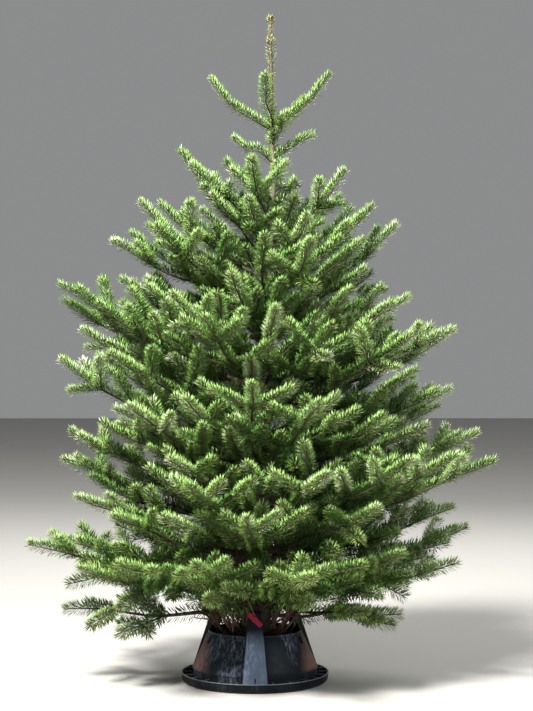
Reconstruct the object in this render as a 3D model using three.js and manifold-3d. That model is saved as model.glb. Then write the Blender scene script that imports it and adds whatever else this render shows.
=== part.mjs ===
// A cut fir kept as a Christmas tree, bare of decorations, in a black water-holding stand.
// Millimetres, +Z up. The origin is the middle of the flat underside of the stand; the tree is
// seen from its front along +Y, with +X to the right. Azimuths turn from +X towards +Y, so 270 is
// the front.
import * as THREE from 'three';
import { mergeVertices } from 'three/addons/utils/BufferGeometryUtils.js';
import Module from 'manifold-3d';

const wasm = await Module();
wasm.setup();

// ---- driving dimensions -----------------------------------------------------------------------

const GAP = 0.3;                // running gap between solids that touch
const TREE_TOP = 1925;          // tip of the leader above the ground

// Tray of the stand: a floor plate with an upturned rim.
const TRAY_RADIUS = 212;
const TRAY_RIM_HEIGHT = 27;
const TRAY_FLOOR = 5;
const TRAY_FOOT_RADIUS = 196;
const TRAY_KERB = 4;            // height at which the tray's foot has curved out to its rim
const TRAY_FILLET = 3;          // inner curve between the floor of the tray and its rim
const RIM_DRAFT = 2;            // how far the rim leans out
const RIM_WIDTH = 6;
const STAND_SIDES = 36;         // a multiple of 12, so that each leg meets the round alike

// Basin: a cone, open at the top, that stands on the floor of the tray and holds the water.
const BASIN_FOOT_RADIUS = 181;
const BASIN_FOOT_HEIGHT = 44;
const BASIN_TOP_RADIUS = 134;
const BASIN_TOP = 147;
const BASIN_WALL = 4;
const BASIN_LIP = 2;            // how far the rim stands out from the cone
const BASIN_LIP_HEIGHT = 6;
const BASIN_LIP_DEPTH = 8;      // how far down the wall is thickened inside the rim

// Legs: three flat-faced struts that stand inside the tray against the basin and lean in over it.
const LEG_AZIMUTHS = { front: 270, back_right: 30, back_left: 150 };
const LEG_FOOT_WIDTH = 73;
const LEG_TOP_WIDTH = 35;
const LEG_TOP = 214;
const LEG_TOP_RADIUS = 130;
const LEG_DEPTH = 24;
const LEG_INSET = 14;           // how far the foot of a leg stands in from the edge of the tray
const LEG_LAP = 10;             // how far a leg reaches in over the basin's rim

// Clamp screws: one through each leg, its end against the trunk, with a winged head outside.
const SCREW_RADIUS = 6;
const SCREW_HEIGHT = 198;
const SCREW_END_RADIUS = 166;
const SCREW_BITE = 10;          // how far inside the bark a shaft starts before it is cut back
const SCREW_SIDES = 12;
const BORE_START = 90;          // the bore through a leg runs past both its faces
const BORE_END = 200;
const WING_LENGTH = 54;
const WING_WIDTH = 15;
const WING_DEPTH = 12;
const WING_TURN = -44;

// Trunk: height, how far it has leaned to the right, and its radius there.
const TRUNK_STATIONS = [
  { z: TRAY_FLOOR + GAP, x: 0, radius: 46 },
  { z: 60, x: 0, radius: 43 },
  { z: 420, x: 9, radius: 34 },
  { z: 850, x: 23, radius: 23 },
  { z: 1270, x: 41, radius: 13 },
  { z: 1504, x: 53, radius: 8.5 },
  { z: 1604, x: 48, radius: 6.5 },
  { z: TREE_TOP, x: 45, radius: 2.2 },
];
const TRUNK_SIDES = 12;
const TRUNK_STEP = 110;

// Limbs. Each one leaves the trunk at height z and climbs by `rise` over its `reach` from the
// trunk's middle. A tier is one year's whorl: `bare` is how far out its foliage begins, `width`
// its half width as a share of the distance from the trunk, `spread` the degrees each side of the
// limb that it stays within, `depth` its half thickness where no full tier lies beyond, and
// `bough` the radius of its boughs.
const CURL = 0.3;               // share of the rise that comes late, so that limbs curve upwards
const BOUGH_TAPER = 0.7;        // radius of a bough where it meets its foliage, as a share
const BOUGH_SIDES = 8;
const BOUGH_STEPS = 3;
const MASS_SIDES = 10;
const MASS_STEPS = 8;
const MASS_ROOT = 22;           // half size of a mass where its bough enters it
const TIP = 5;                  // half size of a mass at its tip
const EDGE = 0.62;              // how full the edges of a mass are; 1 is an ellipse, 0 a box
const WIDEST_AT = 0.63;         // where a mass is widest, as a share of its length
const FAN = { skew: 1.5, fullness: 0.55 };      // how its width grows and closes again
const SWELL = { skew: 0.9, fullness: 0.6 };     // how its thickness does
const BROAD_WAVE = { size: 0.08, lobes: 3 };    // slow unevenness round a mass
const FINE_WAVE = { size: 0.06, lobes: 5, run: 9 };     // quicker unevenness, which runs along it
const SCALLOP = { size: 0.05, lobes: 4 };       // how far its rim is drawn in, as a share of reach
const WAVE_STEP = 40;           // millimetres and degrees that turn the waves by one radian
const LEAST_WIDTH = 0.5;        // half width of a mass where it starts inside the trunk
const FULL_FROM = 2;            // index of the first full tier; the shoots above it are sparse
const FILL = 0.45;              // share of the height between two full tiers that each one fills

const TIERS = [
  {
    name: 'tier1', z: 1604, bare: 0, width: 0.24, spread: 24, depth: 36, bough: 0,
    limbs: [
      { side: 'left', azimuth: 180, reach: 184, rise: 142 },
      { side: 'front', azimuth: 262, reach: 165, rise: 122 },
      { side: 'right', azimuth: 356, reach: 175, rise: 149 },
      { side: 'back', azimuth: 58, reach: 190, rise: 108 },
    ],
  },
  {
    name: 'tier2', z: 1504, bare: 0, width: 0.26, spread: 30, depth: 24, bough: 0,
    limbs: [
      { side: 'left', azimuth: 184, reach: 122, rise: 62 },
      { side: 'right', azimuth: 352, reach: 121, rise: 69 },
    ],
  },
  {
    name: 'tier3', z: 1270, bare: 0, width: 0.6, spread: 41, depth: 62, bough: 0,
    limbs: [
      { side: 'left', azimuth: 172, reach: 284, rise: 297 },
      { side: 'front', azimuth: 260, reach: 262, rise: 222 },
      { side: 'right', azimuth: 351, reach: 243, rise: 215 },
      { side: 'back', azimuth: 82, reach: 262, rise: 232 },
    ],
  },
  {
    name: 'tier4', z: 1050, bare: 0, width: 0.78, spread: 41, depth: 88, bough: 0,
    limbs: [
      { side: 'left', azimuth: 197, reach: 470, rise: 205 },
      { side: 'front', azimuth: 288, reach: 414, rise: 196 },
      { side: 'right', azimuth: 17, reach: 428, rise: 298 },
      { side: 'back', azimuth: 107, reach: 415, rise: 225 },
    ],
  },
  {
    name: 'tier5', z: 840, bare: 120, width: 0.8, spread: 41, depth: 84, bough: 10,
    limbs: [
      { side: 'left', azimuth: 164, reach: 640, rise: 270 },
      { side: 'front', azimuth: 253, reach: 524, rise: 190 },
      { side: 'right', azimuth: 343, reach: 576, rise: 174 },
      { side: 'back', azimuth: 74, reach: 530, rise: 215 },
    ],
  },
  {
    name: 'tier6', z: 630, bare: 140, width: 0.8, spread: 41, depth: 86, bough: 11,
    limbs: [
      { side: 'left', azimuth: 198, reach: 604, rise: 300 },
      { side: 'front', azimuth: 287, reach: 560, rise: 186 },
      { side: 'right', azimuth: 18, reach: 620, rise: 220 },
      { side: 'back', azimuth: 108, reach: 580, rise: 210 },
    ],
  },
  {
    name: 'tier7', z: 430, bare: 155, width: 0.8, spread: 41, depth: 86, bough: 12,
    limbs: [
      { side: 'left', azimuth: 161, reach: 640, rise: 196 },
      { side: 'front', azimuth: 252, reach: 590, rise: 170 },
      { side: 'right', azimuth: 342, reach: 706, rise: 224 },
      { side: 'back', azimuth: 74, reach: 610, rise: 180 },
    ],
  },
  {
    name: 'tier8', z: 245, bare: 170, width: 0.8, spread: 41, depth: 66, bough: 12,
    limbs: [
      { side: 'left', azimuth: 195, reach: 672, rise: 164 },
      { side: 'front', azimuth: 286, reach: 560, rise: 120 },
      { side: 'right', azimuth: 16, reach: 676, rise: 188 },
      { side: 'back', azimuth: 106, reach: 590, rise: 135 },
    ],
  },
  {
    name: 'tier9', z: 184, bare: 180, width: 0.5, spread: 41, depth: 40, bough: 9,
    limbs: [
      { side: 'left', azimuth: 186, reach: 566, rise: 24 },
      { side: 'right', azimuth: 352, reach: 434, rise: 20 },
    ],
  },
];

// ---- finishes ---------------------------------------------------------------------------------

const finish = (color, roughness, metalness = 0) => (
  new THREE.MeshStandardMaterial({ color, roughness, metalness })
);
const bark = finish(0x5d5142, 0.9);
const boughBark = finish(0x5a4630, 0.88);
const needles = finish(0x42552b, 0.75);
const blackPlastic = finish(0x23262b, 0.45);
const redPlastic = finish(0x7d1a14, 0.4);

// ---- solids -----------------------------------------------------------------------------------

// A closed geometry as a manifold solid, without its normals, uvs and collapsed triangles.
function toSolid(geometry) {
  const bare = geometry.clone();
  bare.deleteAttribute('normal');
  bare.deleteAttribute('uv');
  const merged = mergeVertices(bare, 1e-3);
  const index = merged.index.array;
  const triangles = [];
  for (let i = 0; i < index.length; i += 3) {
    const [a, b, c] = [index[i], index[i + 1], index[i + 2]];
    if (a !== b && b !== c && c !== a) triangles.push(a, b, c);
  }
  return new wasm.Manifold(new wasm.Mesh({
    numProp: 3,
    vertProperties: new Float32Array(merged.attributes.position.array),
    triVerts: new Uint32Array(triangles),
  }));
}

// A manifold solid as a geometry to show.
function toGeometry(solid) {
  const mesh = solid.getMesh();
  const geometry = new THREE.BufferGeometry();
  geometry.setAttribute('position', new THREE.BufferAttribute(mesh.vertProperties, 3));
  geometry.setIndex(new THREE.BufferAttribute(mesh.triVerts, 1));
  geometry.computeVertexNormals();
  return geometry;
}

// A solid turned about Z from the +X direction to an azimuth.
function turned(solid, azimuth) {
  return solid.rotate([0, 0, azimuth]);
}

// A solid of revolution about Z from [radius, height] pairs.
function lathed(profile, sides) {
  const points = profile.map(([radius, height]) => new THREE.Vector2(radius, height));
  const geometry = new THREE.LatheGeometry(points, sides);
  geometry.rotateX(Math.PI / 2);
  return toSolid(geometry);
}

// A box centred on a point.
function block(sizeX, sizeY, sizeZ, x, y, z) {
  const geometry = new THREE.BoxGeometry(sizeX, sizeY, sizeZ);
  geometry.translate(x, y, z);
  return toSolid(geometry);
}

// A round bar along +X.
function barAlongX(radius, start, end, height, sides) {
  const geometry = new THREE.CylinderGeometry(radius, radius, end - start, sides);
  geometry.rotateZ(-Math.PI / 2);
  geometry.translate((start + end) / 2, 0, height);
  return toSolid(geometry);
}

// A cylinder whose rings are moved: place(t, angle) gives the point at a share t of the length.
function swept(sides, steps, place) {
  const geometry = new THREE.CylinderGeometry(1, 1, 1, sides, steps);
  const position = geometry.attributes.position;
  const point = new THREE.Vector3();
  for (let i = 0; i < position.count; i += 1) {
    point.fromBufferAttribute(position, i);
    const radius = Math.hypot(point.x, point.z);
    const [x, y, z] = place(point.y + 0.5, Math.atan2(-point.z, point.x), radius);
    position.setXYZ(i, x, y, z);
  }
  return toSolid(geometry);
}

// ---- trunk ------------------------------------------------------------------------------------

// Where the middle of the trunk is at a height, and its radius there.
function trunkAt(z) {
  const last = TRUNK_STATIONS.length - 1;
  const above = TRUNK_STATIONS.findIndex((station) => station.z >= z);
  const high = TRUNK_STATIONS[above < 0 ? last : Math.max(above, 1)];
  const low = TRUNK_STATIONS[TRUNK_STATIONS.indexOf(high) - 1];
  const share = THREE.MathUtils.clamp((z - low.z) / (high.z - low.z), 0, 1);
  return {
    x: THREE.MathUtils.lerp(low.x, high.x, share),
    radius: THREE.MathUtils.lerp(low.radius, high.radius, share),
  };
}

function trunkSolid(extra) {
  const foot = TRUNK_STATIONS[0].z;
  const steps = Math.round((TREE_TOP - foot) / TRUNK_STEP);
  return swept(TRUNK_SIDES, steps, (t, angle, share) => {
    const z = THREE.MathUtils.lerp(foot - extra, TREE_TOP + extra, t);
    const { x, radius } = trunkAt(z);
    const out = share * (radius + extra);
    return [x + out * Math.cos(angle), out * Math.sin(angle), z];
  });
}

// ---- boughs and masses ------------------------------------------------------------------------

// Height of a limb above its start, at a distance from the trunk's middle.
function climb(limb, distance) {
  const share = distance / limb.reach;
  return limb.rise * ((1 - CURL) * share + CURL * share * share);
}

// A limb's solid in upright slices: section(t, angle) gives a slice's half width and half height,
// how far its rim is bent out along the limb, and how full its edges are.
function limbSolid(tier, limb, start, end, sides, steps, section) {
  const solid = swept(sides, steps, (t, angle, share) => {
    const distance = THREE.MathUtils.lerp(start, end, t);
    const { halfWidth, halfHeight, bend, edge } = section(t, angle);
    const lift = Math.sign(Math.sin(angle)) * Math.abs(Math.sin(angle)) ** edge;
    return [
      distance + bend * share,
      share * halfWidth * Math.cos(angle),
      tier.z + climb(limb, distance) + share * halfHeight * lift,
    ];
  });
  return turned(solid, limb.azimuth).translate([trunkAt(tier.z).x, 0, 0]);
}

// One tapering bough, from inside the trunk to just short of the foliage.
function boughSolid(tier, limb) {
  return limbSolid(tier, limb, 0, tier.bare - GAP, BOUGH_SIDES, BOUGH_STEPS, (t) => {
    const radius = tier.bough * THREE.MathUtils.lerp(1, BOUGH_TAPER, t);
    return { halfWidth: radius, halfHeight: radius, bend: 0, edge: 1 };
  });
}

// Half thickness of a mass on its upper side (step -1) or its lower side (step 1): its share of
// the height to the limb of the next full tier on that side of the tree.
function thickness(tier, limb, distance, step) {
  const index = TIERS.indexOf(tier);
  const next = TIERS[index + step];
  const other = next?.limbs.find((candidate) => candidate.side === limb.side);
  if (!other || index < FULL_FROM || index + step < FULL_FROM) return tier.depth;
  const height = tier.z + climb(limb, distance);
  return FILL * Math.abs(next.z + climb(other, distance) - height);
}

// A curve that rises from 0 at the start of a limb to 1 and falls back to 0 at its tip.
function arch(t, { skew, fullness }) {
  return Math.max(Math.sin(Math.PI * t ** skew), 0) ** fullness;
}

// One mass of foliage: a fan that is narrow at its bough, widest past its middle and pointed at
// its tip. Waves set by the limb's own azimuth and reach make each outline its own.
function massSolid(tier, limb) {
  const phase = (limb.azimuth + limb.reach) / WAVE_STEP;
  const widest = tier.width * THREE.MathUtils.lerp(tier.bare, limb.reach, WIDEST_AT);
  const root = Math.min(MASS_ROOT, tier.depth / 2);
  const spread = Math.tan(THREE.MathUtils.degToRad(tier.spread));
  return limbSolid(tier, limb, tier.bare, limb.reach, MASS_SIDES, MASS_STEPS, (t, angle) => {
    const fan = arch(t, FAN);
    const swell = arch(t, SWELL);
    const core = THREE.MathUtils.lerp(root, TIP, t);
    const broad = BROAD_WAVE.size * Math.sin(BROAD_WAVE.lobes * angle + phase);
    const fine = FINE_WAVE.size * Math.sin(FINE_WAVE.lobes * angle - FINE_WAVE.run * t + phase);
    const wave = 1 + broad + fine;
    const scallop = SCALLOP.size * (1 + Math.sin(SCALLOP.lobes * angle + phase));
    const bend = -scallop * limb.reach * t * fan;
    const distance = THREE.MathUtils.lerp(tier.bare, limb.reach, t) + bend;
    const depth = thickness(tier, limb, distance, Math.sin(angle) > 0 ? -1 : 1);
    return {
      halfWidth: Math.min(core + (widest - core) * fan * wave, LEAST_WIDTH + distance * spread),
      halfHeight: core + (depth - core) * swell * wave,
      bend,
      edge: EDGE,
    };
  });
}

// ---- stand ------------------------------------------------------------------------------------

function traySolid() {
  return lathed([
    [0, 0],
    [TRAY_FOOT_RADIUS, 0],
    [TRAY_RADIUS - RIM_DRAFT, TRAY_KERB],
    [TRAY_RADIUS, TRAY_RIM_HEIGHT],
    [TRAY_RADIUS - RIM_WIDTH, TRAY_RIM_HEIGHT],
    [TRAY_RADIUS - RIM_WIDTH - TRAY_FILLET, TRAY_FLOOR + TRAY_FILLET],
    [TRAY_FOOT_RADIUS - RIM_WIDTH, TRAY_FLOOR],
    [0, TRAY_FLOOR],
  ], STAND_SIDES);
}

// The outer line of the basin from its foot to its rim, [radius, height].
function basinOutline(extra) {
  return [
    [BASIN_FOOT_RADIUS + extra, TRAY_FLOOR + GAP],
    [BASIN_FOOT_RADIUS + extra, BASIN_FOOT_HEIGHT + extra],
    [BASIN_TOP_RADIUS - BASIN_LIP + extra, BASIN_TOP - BASIN_LIP_HEIGHT],
    [BASIN_TOP_RADIUS + extra, BASIN_TOP - BASIN_LIP_HEIGHT - extra],
    [BASIN_TOP_RADIUS + extra, BASIN_TOP + extra],
  ];
}

function basinSolid() {
  const mouth = BASIN_TOP_RADIUS - BASIN_WALL - BASIN_LIP;
  return lathed([
    ...basinOutline(0),
    [mouth, BASIN_TOP],
    [mouth, BASIN_TOP - BASIN_LIP_DEPTH],
    [BASIN_FOOT_RADIUS - BASIN_WALL, BASIN_FOOT_HEIGHT],
    [BASIN_FOOT_RADIUS - BASIN_WALL, TRAY_FLOOR + GAP],
    [BASIN_FOOT_RADIUS, TRAY_FLOOR + GAP],
  ], STAND_SIDES);
}

// The whole space inside the basin's outer face, for cutting what lies against it.
function basinSpace() {
  const outline = basinOutline(GAP);
  return lathed([[0, TRAY_FLOOR], ...outline, [0, BASIN_TOP + GAP]], STAND_SIDES);
}

// A leg along +X: its side outline widened, narrowed towards the top, and cut round the basin
// and the clamp screw.
function legSolid() {
  const foot = TRAY_FLOOR + TRAY_FILLET + GAP;
  const inner = BASIN_TOP_RADIUS - LEG_LAP;
  const outline = new THREE.Shape([
    new THREE.Vector2(TRAY_RADIUS - LEG_INSET, foot),
    new THREE.Vector2(LEG_TOP_RADIUS, LEG_TOP),
    new THREE.Vector2(LEG_TOP_RADIUS - LEG_DEPTH, LEG_TOP),
    new THREE.Vector2(inner, BASIN_TOP + GAP),
    new THREE.Vector2(inner, foot),
  ]);
  const geometry = new THREE.ExtrudeGeometry(outline, { depth: 2, bevelEnabled: false });
  geometry.translate(0, 0, -1);
  geometry.rotateX(Math.PI / 2);
  const position = geometry.attributes.position;
  for (let i = 0; i < position.count; i += 1) {
    const share = (position.getZ(i) - foot) / (LEG_TOP - foot);
    const halfWidth = THREE.MathUtils.lerp(LEG_FOOT_WIDTH, LEG_TOP_WIDTH, share) / 2;
    position.setY(i, position.getY(i) * halfWidth);
  }
  const bore = barAlongX(SCREW_RADIUS + GAP, BORE_START, BORE_END, SCREW_HEIGHT, SCREW_SIDES);
  return toSolid(geometry).subtract(basinSpace()).subtract(bore);
}

// A clamp screw along +X: its shaft, from inside the trunk's bark, and its two-winged head.
function screwSolid() {
  const start = trunkAt(SCREW_HEIGHT).radius - SCREW_BITE;
  const middle = SCREW_END_RADIUS - WING_DEPTH / 2;
  const shaft = barAlongX(SCREW_RADIUS, start, middle, SCREW_HEIGHT, SCREW_SIDES);
  const wing = block(WING_DEPTH, WING_LENGTH, WING_WIDTH, 0, 0, 0);
  const head = wing.rotate([WING_TURN, 0, 0]);
  return shaft.add(head.translate([middle, 0, SCREW_HEIGHT]));
}

// ---- assembly ---------------------------------------------------------------------------------

const group = new THREE.Group();
group.name = 'christmas_tree';

function addNode(name, solid, material) {
  const mesh = new THREE.Mesh(toGeometry(solid), material);
  mesh.name = name;
  group.add(mesh);
}

const trunkSpace = trunkSolid(GAP);
addNode('trunk', trunkSolid(0), bark);

addNode('stand_tray', traySolid(), blackPlastic);
addNode('stand_basin', basinSolid(), blackPlastic);
for (const [place, azimuth] of Object.entries(LEG_AZIMUTHS)) {
  const screw = turned(screwSolid(), azimuth).subtract(trunkSpace);
  addNode(`stand_leg_${place}`, turned(legSolid(), azimuth), blackPlastic);
  addNode(`clamp_screw_${place}`, screw, redPlastic);
}

for (const tier of TIERS) {
  for (const limb of tier.limbs) {
    if (tier.bare > 0) {
      addNode(`bough_${tier.name}_${limb.side}`, boughSolid(tier, limb).subtract(trunkSpace), boughBark);
      addNode(`foliage_${tier.name}_${limb.side}`, massSolid(tier, limb), needles);
    } else {
      addNode(`foliage_${tier.name}_${limb.side}`, massSolid(tier, limb).subtract(trunkSpace), needles);
    }
  }
}

export default group;
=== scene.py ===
# %% [markdown]
# # A bare Christmas tree in its water stand
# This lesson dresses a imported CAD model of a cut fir. The CAD model holds the real sizes: a trunk,
# eighteen main boughs, thirty-two solid masses of foliage and a plastic stand. Here the solid masses
# are swapped for boughs, twigs and needles that grow inside them, and the plain stand for a
# moulded one. Everything is in metres, with +Z up and the front of the tree towards -Y.

import math

import bpy
import bmesh
import numpy as np
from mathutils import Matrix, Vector
from mathutils.bvhtree import BVHTree


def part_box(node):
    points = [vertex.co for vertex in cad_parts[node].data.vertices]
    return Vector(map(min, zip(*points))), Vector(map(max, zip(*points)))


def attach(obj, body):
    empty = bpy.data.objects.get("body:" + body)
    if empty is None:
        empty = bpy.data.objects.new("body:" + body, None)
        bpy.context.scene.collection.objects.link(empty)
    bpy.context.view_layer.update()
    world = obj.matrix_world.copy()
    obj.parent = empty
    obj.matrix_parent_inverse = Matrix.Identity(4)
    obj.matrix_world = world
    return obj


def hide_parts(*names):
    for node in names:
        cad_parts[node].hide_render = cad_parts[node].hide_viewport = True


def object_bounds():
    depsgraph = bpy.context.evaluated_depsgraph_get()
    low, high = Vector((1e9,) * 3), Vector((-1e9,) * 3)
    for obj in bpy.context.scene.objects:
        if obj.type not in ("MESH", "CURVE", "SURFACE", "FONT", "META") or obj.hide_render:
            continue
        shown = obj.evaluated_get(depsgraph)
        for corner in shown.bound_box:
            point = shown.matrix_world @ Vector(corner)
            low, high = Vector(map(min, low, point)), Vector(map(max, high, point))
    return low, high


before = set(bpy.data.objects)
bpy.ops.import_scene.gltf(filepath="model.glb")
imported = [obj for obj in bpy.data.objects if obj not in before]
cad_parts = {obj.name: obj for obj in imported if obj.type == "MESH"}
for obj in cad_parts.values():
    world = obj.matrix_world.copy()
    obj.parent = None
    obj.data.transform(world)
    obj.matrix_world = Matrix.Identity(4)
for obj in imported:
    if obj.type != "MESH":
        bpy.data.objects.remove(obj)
cad_low, cad_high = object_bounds()
print("CAD box:", [round(v, 3) for v in (*cad_low, *cad_high)])

# %% [markdown]
# ## Camera, floor and light
# A full-length portrait of a tree is taken from a few metres away with a lens a little longer than
# normal, held at chest height, so that the trunk stays upright and the far side isn't shrunk. The
# floor is one large pale sheet and the light is soft from all sides, with one large lamp high on
# the front left, because a conifer only shows its depth when the inside of its crown stays dark.

# %% Camera
CAMERA_HEIGHT = 0.867
CAMERA_DISTANCE = 4.5
CAMERA_LENS = 78.8
CAMERA_SENSOR = 36
CAMERA_PITCH = math.radians(90.87)
CAMERA_YAW = math.radians(-0.42)

camera_data = bpy.data.cameras.new("camera")
camera_data.lens = CAMERA_LENS
camera_data.sensor_width = CAMERA_SENSOR
camera = bpy.data.objects.new("camera", camera_data)
camera.location = (0, -CAMERA_DISTANCE, CAMERA_HEIGHT)
camera.rotation_euler = (CAMERA_PITCH, 0, CAMERA_YAW)
bpy.context.scene.collection.objects.link(camera)
bpy.context.scene.camera = camera
bpy.context.scene.view_settings.view_transform = "Standard"
print("camera", CAMERA_DISTANCE, "m in front, lens", CAMERA_LENS, "mm")

# %% Floor and light
FLOOR_SIZE = 60
FLOOR_COLOUR = (0.38, 0.37, 0.35)
WORLD_COLOUR = (0.90, 0.91, 0.92, 1)
WORLD_STRENGTH = 0.29
LAMPS = {           # where each lamp stands, where it points, its size, power and colour
    "key_lamp": ((-2.9, -4.8, 6.8), (0, 0, 0.8), 1.6, 2600, (1.0, 0.99, 0.97)),
    "fill_lamp": ((3.4, -3.0, 2.4), (0, 0, 0.8), 2.0, 95, (0.96, 0.98, 1.0)),
    "back_lamp": ((1.0, 3.6, 4.0), (0, 0, 1.1), 2.0, 170, (1.0, 0.99, 0.96)),
}


def plain_material(name, colour, roughness):
    """A Principled material whose colour is the same all over."""
    material = bpy.data.materials.new(name)
    material.use_nodes = True
    shader = material.node_tree.nodes["Principled BSDF"]
    shader.inputs["Base Color"].default_value = (*colour, 1)
    shader.inputs["Roughness"].default_value = roughness
    return material


def area_lamp(name, place, aim, size, power, colour):
    """A square lamp at a place, turned towards a point."""
    data = bpy.data.lights.new(name, "AREA")
    data.size = size
    data.energy = power
    data.color = colour
    lamp = bpy.data.objects.new(name, data)
    lamp.location = place
    turn = (Vector(aim) - Vector(place)).to_track_quat("-Z", "Y")
    lamp.rotation_euler = turn.to_euler()
    bpy.context.scene.collection.objects.link(lamp)


bpy.ops.object.select_all(action="DESELECT")
bpy.ops.mesh.primitive_plane_add(size=FLOOR_SIZE, location=(0, 0, 0))
floor = bpy.context.object
floor.name = "floor"
floor.data.materials.append(plain_material("pale_floor", FLOOR_COLOUR, 0.8))

world = bpy.data.worlds.new("studio")
bpy.context.scene.world = world
world.use_nodes = True
sky = world.node_tree.nodes["Background"]
sky.inputs["Color"].default_value = WORLD_COLOUR
sky.inputs["Strength"].default_value = WORLD_STRENGTH
for name, values in LAMPS.items():
    area_lamp(name, *values)
print("floor", FLOOR_SIZE, "m across and", len(LAMPS), "soft lamps")

# %% [markdown]
# ## Reading the frame
# The trunk's CAD solid is a stack of rings, so its middle and its radius can be read at any height.
# The thirty-two foliage masses give the outline of the crown: a level ray shot inwards from outside
# says how far the crown reaches at a height and in a direction. Those two measures are all that the
# branching rule needs. Many thousands of places are asked for later, so the reach is measured once
# on a map of heights and directions, and read from the map between its stations.

# %% The trunk's middle and radius
RING_GAP = 1e-4                         # corners closer in height than this are on one ring
RING_CORNERS = 8                        # a ring has at least this many


def node_points(name):
    """The corners of a CAD node, one row each."""
    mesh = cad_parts[name].data
    points = np.empty(len(mesh.vertices) * 3)
    mesh.vertices.foreach_get("co", points)
    return points.reshape(-1, 3)


def node_rays(name):
    """A CAD node's faces, ready to be asked where a ray meets them."""
    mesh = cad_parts[name].data
    corners = [vertex.co for vertex in mesh.vertices]
    return BVHTree.FromPolygons(corners, [tuple(face.vertices) for face in mesh.polygons])


trunk_points = node_points("trunk")
ring_heights = np.unique(np.round(trunk_points[:, 2], 4))
rings = [(z, trunk_points[np.abs(trunk_points[:, 2] - z) < RING_GAP]) for z in ring_heights]
rings = [(z, ring) for z, ring in rings if len(ring) >= RING_CORNERS]
trunk_z = np.array([z for z, ring in rings])
trunk_x = np.array([(ring[:, 0].min() + ring[:, 0].max()) / 2 for z, ring in rings])
trunk_radius = np.array([(ring[:, 0].max() - ring[:, 0].min()) / 2 for z, ring in rings])


def trunk_middle(z):
    return np.array([np.interp(z, trunk_z, trunk_x), 0.0, z])


def trunk_radius_at(z):
    return float(np.interp(z, trunk_z, trunk_radius))


print("trunk", len(rings), "rings, butt", round(2000 * trunk_radius[0]), "mm across")

# %% The masses of foliage
SLIM_DROP = 0.014                       # the two top whorls' limbs start this far below their solids
INNER_CORNERS = 8                       # corners of a bough's inner end


class Mass:
    """A CAD foliage solid: where its limb starts and where its tip is."""

    def __init__(self, name):
        self.tier = int(name.split("_")[1].removeprefix("tier"))
        self.label = name.removeprefix("foliage_")
        self.rays = node_rays(name)
        points = node_points(name)
        away = np.hypot(points[:, 0] - np.interp(points[:, 2], trunk_z, trunk_x), points[:, 1])
        self.tip = points[away.argmax()]
        bough = name.replace("foliage", "bough")
        inner = node_points(bough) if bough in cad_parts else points
        near = np.hypot(inner[:, 0] - trunk_x.mean(), inner[:, 1]).argsort()[:INNER_CORNERS]
        self.hub = trunk_middle(float(inner[near, 2].mean()) - SLIM_DROP * (self.tier <= 2))


masses = [Mass(name) for name in sorted(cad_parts) if name.startswith("foliage_")]
full_masses = [mass for mass in masses if mass.tier >= 3]
print(len(masses), "masses, of which", len(full_masses), "are whole whorls")

# %% How far the crown reaches
RAY_START = 3.0
WINDOW_HEIGHTS = (-0.04, 0.0, 0.04)
WINDOW_TURNS = (-0.15, 0.0, 0.15)


def away_from(azimuth):
    return np.array([math.cos(azimuth), math.sin(azimuth), 0.0])


def crown_reach(z, azimuth):
    """The furthest foliage near a height and a direction, from the trunk's middle."""
    reach = 0.0
    for rise in WINDOW_HEIGHTS:
        for turn in WINDOW_TURNS:
            out = away_from(azimuth + turn)
            start = Vector(trunk_middle(z + rise) + out * RAY_START)
            for mass in full_masses:
                hit = mass.rays.ray_cast(start, Vector(-out), RAY_START)
                if hit[0] is not None:
                    reach = max(reach, RAY_START - hit[3])
    return reach


REACH_HEIGHTS = np.arange(0.12, 1.62, 0.03)
REACH_TURNS = np.linspace(-math.pi, math.pi, 49)
reach_map = np.array([[crown_reach(z, turn) for turn in REACH_TURNS] for z in REACH_HEIGHTS])


def reach_at(z, azimuth):
    """The same, read from the map between its stations."""
    azimuth = (azimuth + math.pi) % (2 * math.pi) - math.pi
    row = np.interp(z, REACH_HEIGHTS, np.arange(len(REACH_HEIGHTS)))
    column = np.interp(azimuth, REACH_TURNS, np.arange(len(REACH_TURNS)))
    r, c = min(int(row), len(REACH_HEIGHTS) - 2), min(int(column), len(REACH_TURNS) - 2)
    a, b = row - r, column - c
    low = reach_map[r, c] * (1 - b) + reach_map[r, c + 1] * b
    high = reach_map[r + 1, c] * (1 - b) + reach_map[r + 1, c + 1] * b
    return low * (1 - a) + high * a


print("crown reaches", round(float(reach_map.max()), 3), "m at most")

# %% [markdown]
# ## The branching rule
# A fir grows one shoot a year at the end of every limb, and at each year's joint it sets a pair of
# side shoots at about fifty degrees, in the plane of the limb. The side shoots do the same in turn,
# a little shorter each time, so an old limb becomes a flat fan. A shoot without room of its own
# dies. Each limb is kept as a line of points with a radius at every point and an age for every
# year's stretch. The rule could be a function that calls itself, but then the first bough would take
# all the room: instead the boughs come first, then the side limbs of all of them, then theirs.

# %% Limbs
SEED = 20
rng = np.random.default_rng(SEED)
STEPS_PER_YEAR = 3
GOLDEN = math.radians(137.508)          # the turn from each leaf or shoot to the next
UP = np.array([0.0, 0.0, 1.0])


def unit(vector):
    return vector / (np.linalg.norm(vector, axis=-1, keepdims=True) + 1e-12)


class Limb:
    """One limb: points, radii, and the age of each yearly stretch, the oldest first."""

    def __init__(self, points, radii, years, order, bough):
        self.points = np.asarray(points)
        self.radii = np.asarray(radii)
        self.years = years
        self.order = order          # 0 a main bough, 1 its side limbs, 2 theirs
        self.bough = bough          # number of the main bough that carries it

    def stretch(self, index):
        """Points and radii of one year's stretch."""
        part = slice(index * STEPS_PER_YEAR, (index + 1) * STEPS_PER_YEAR + 1)
        return self.points[part], self.radii[part]


print("a limb grows", STEPS_PER_YEAR, "points a year, from seed", SEED)

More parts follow.
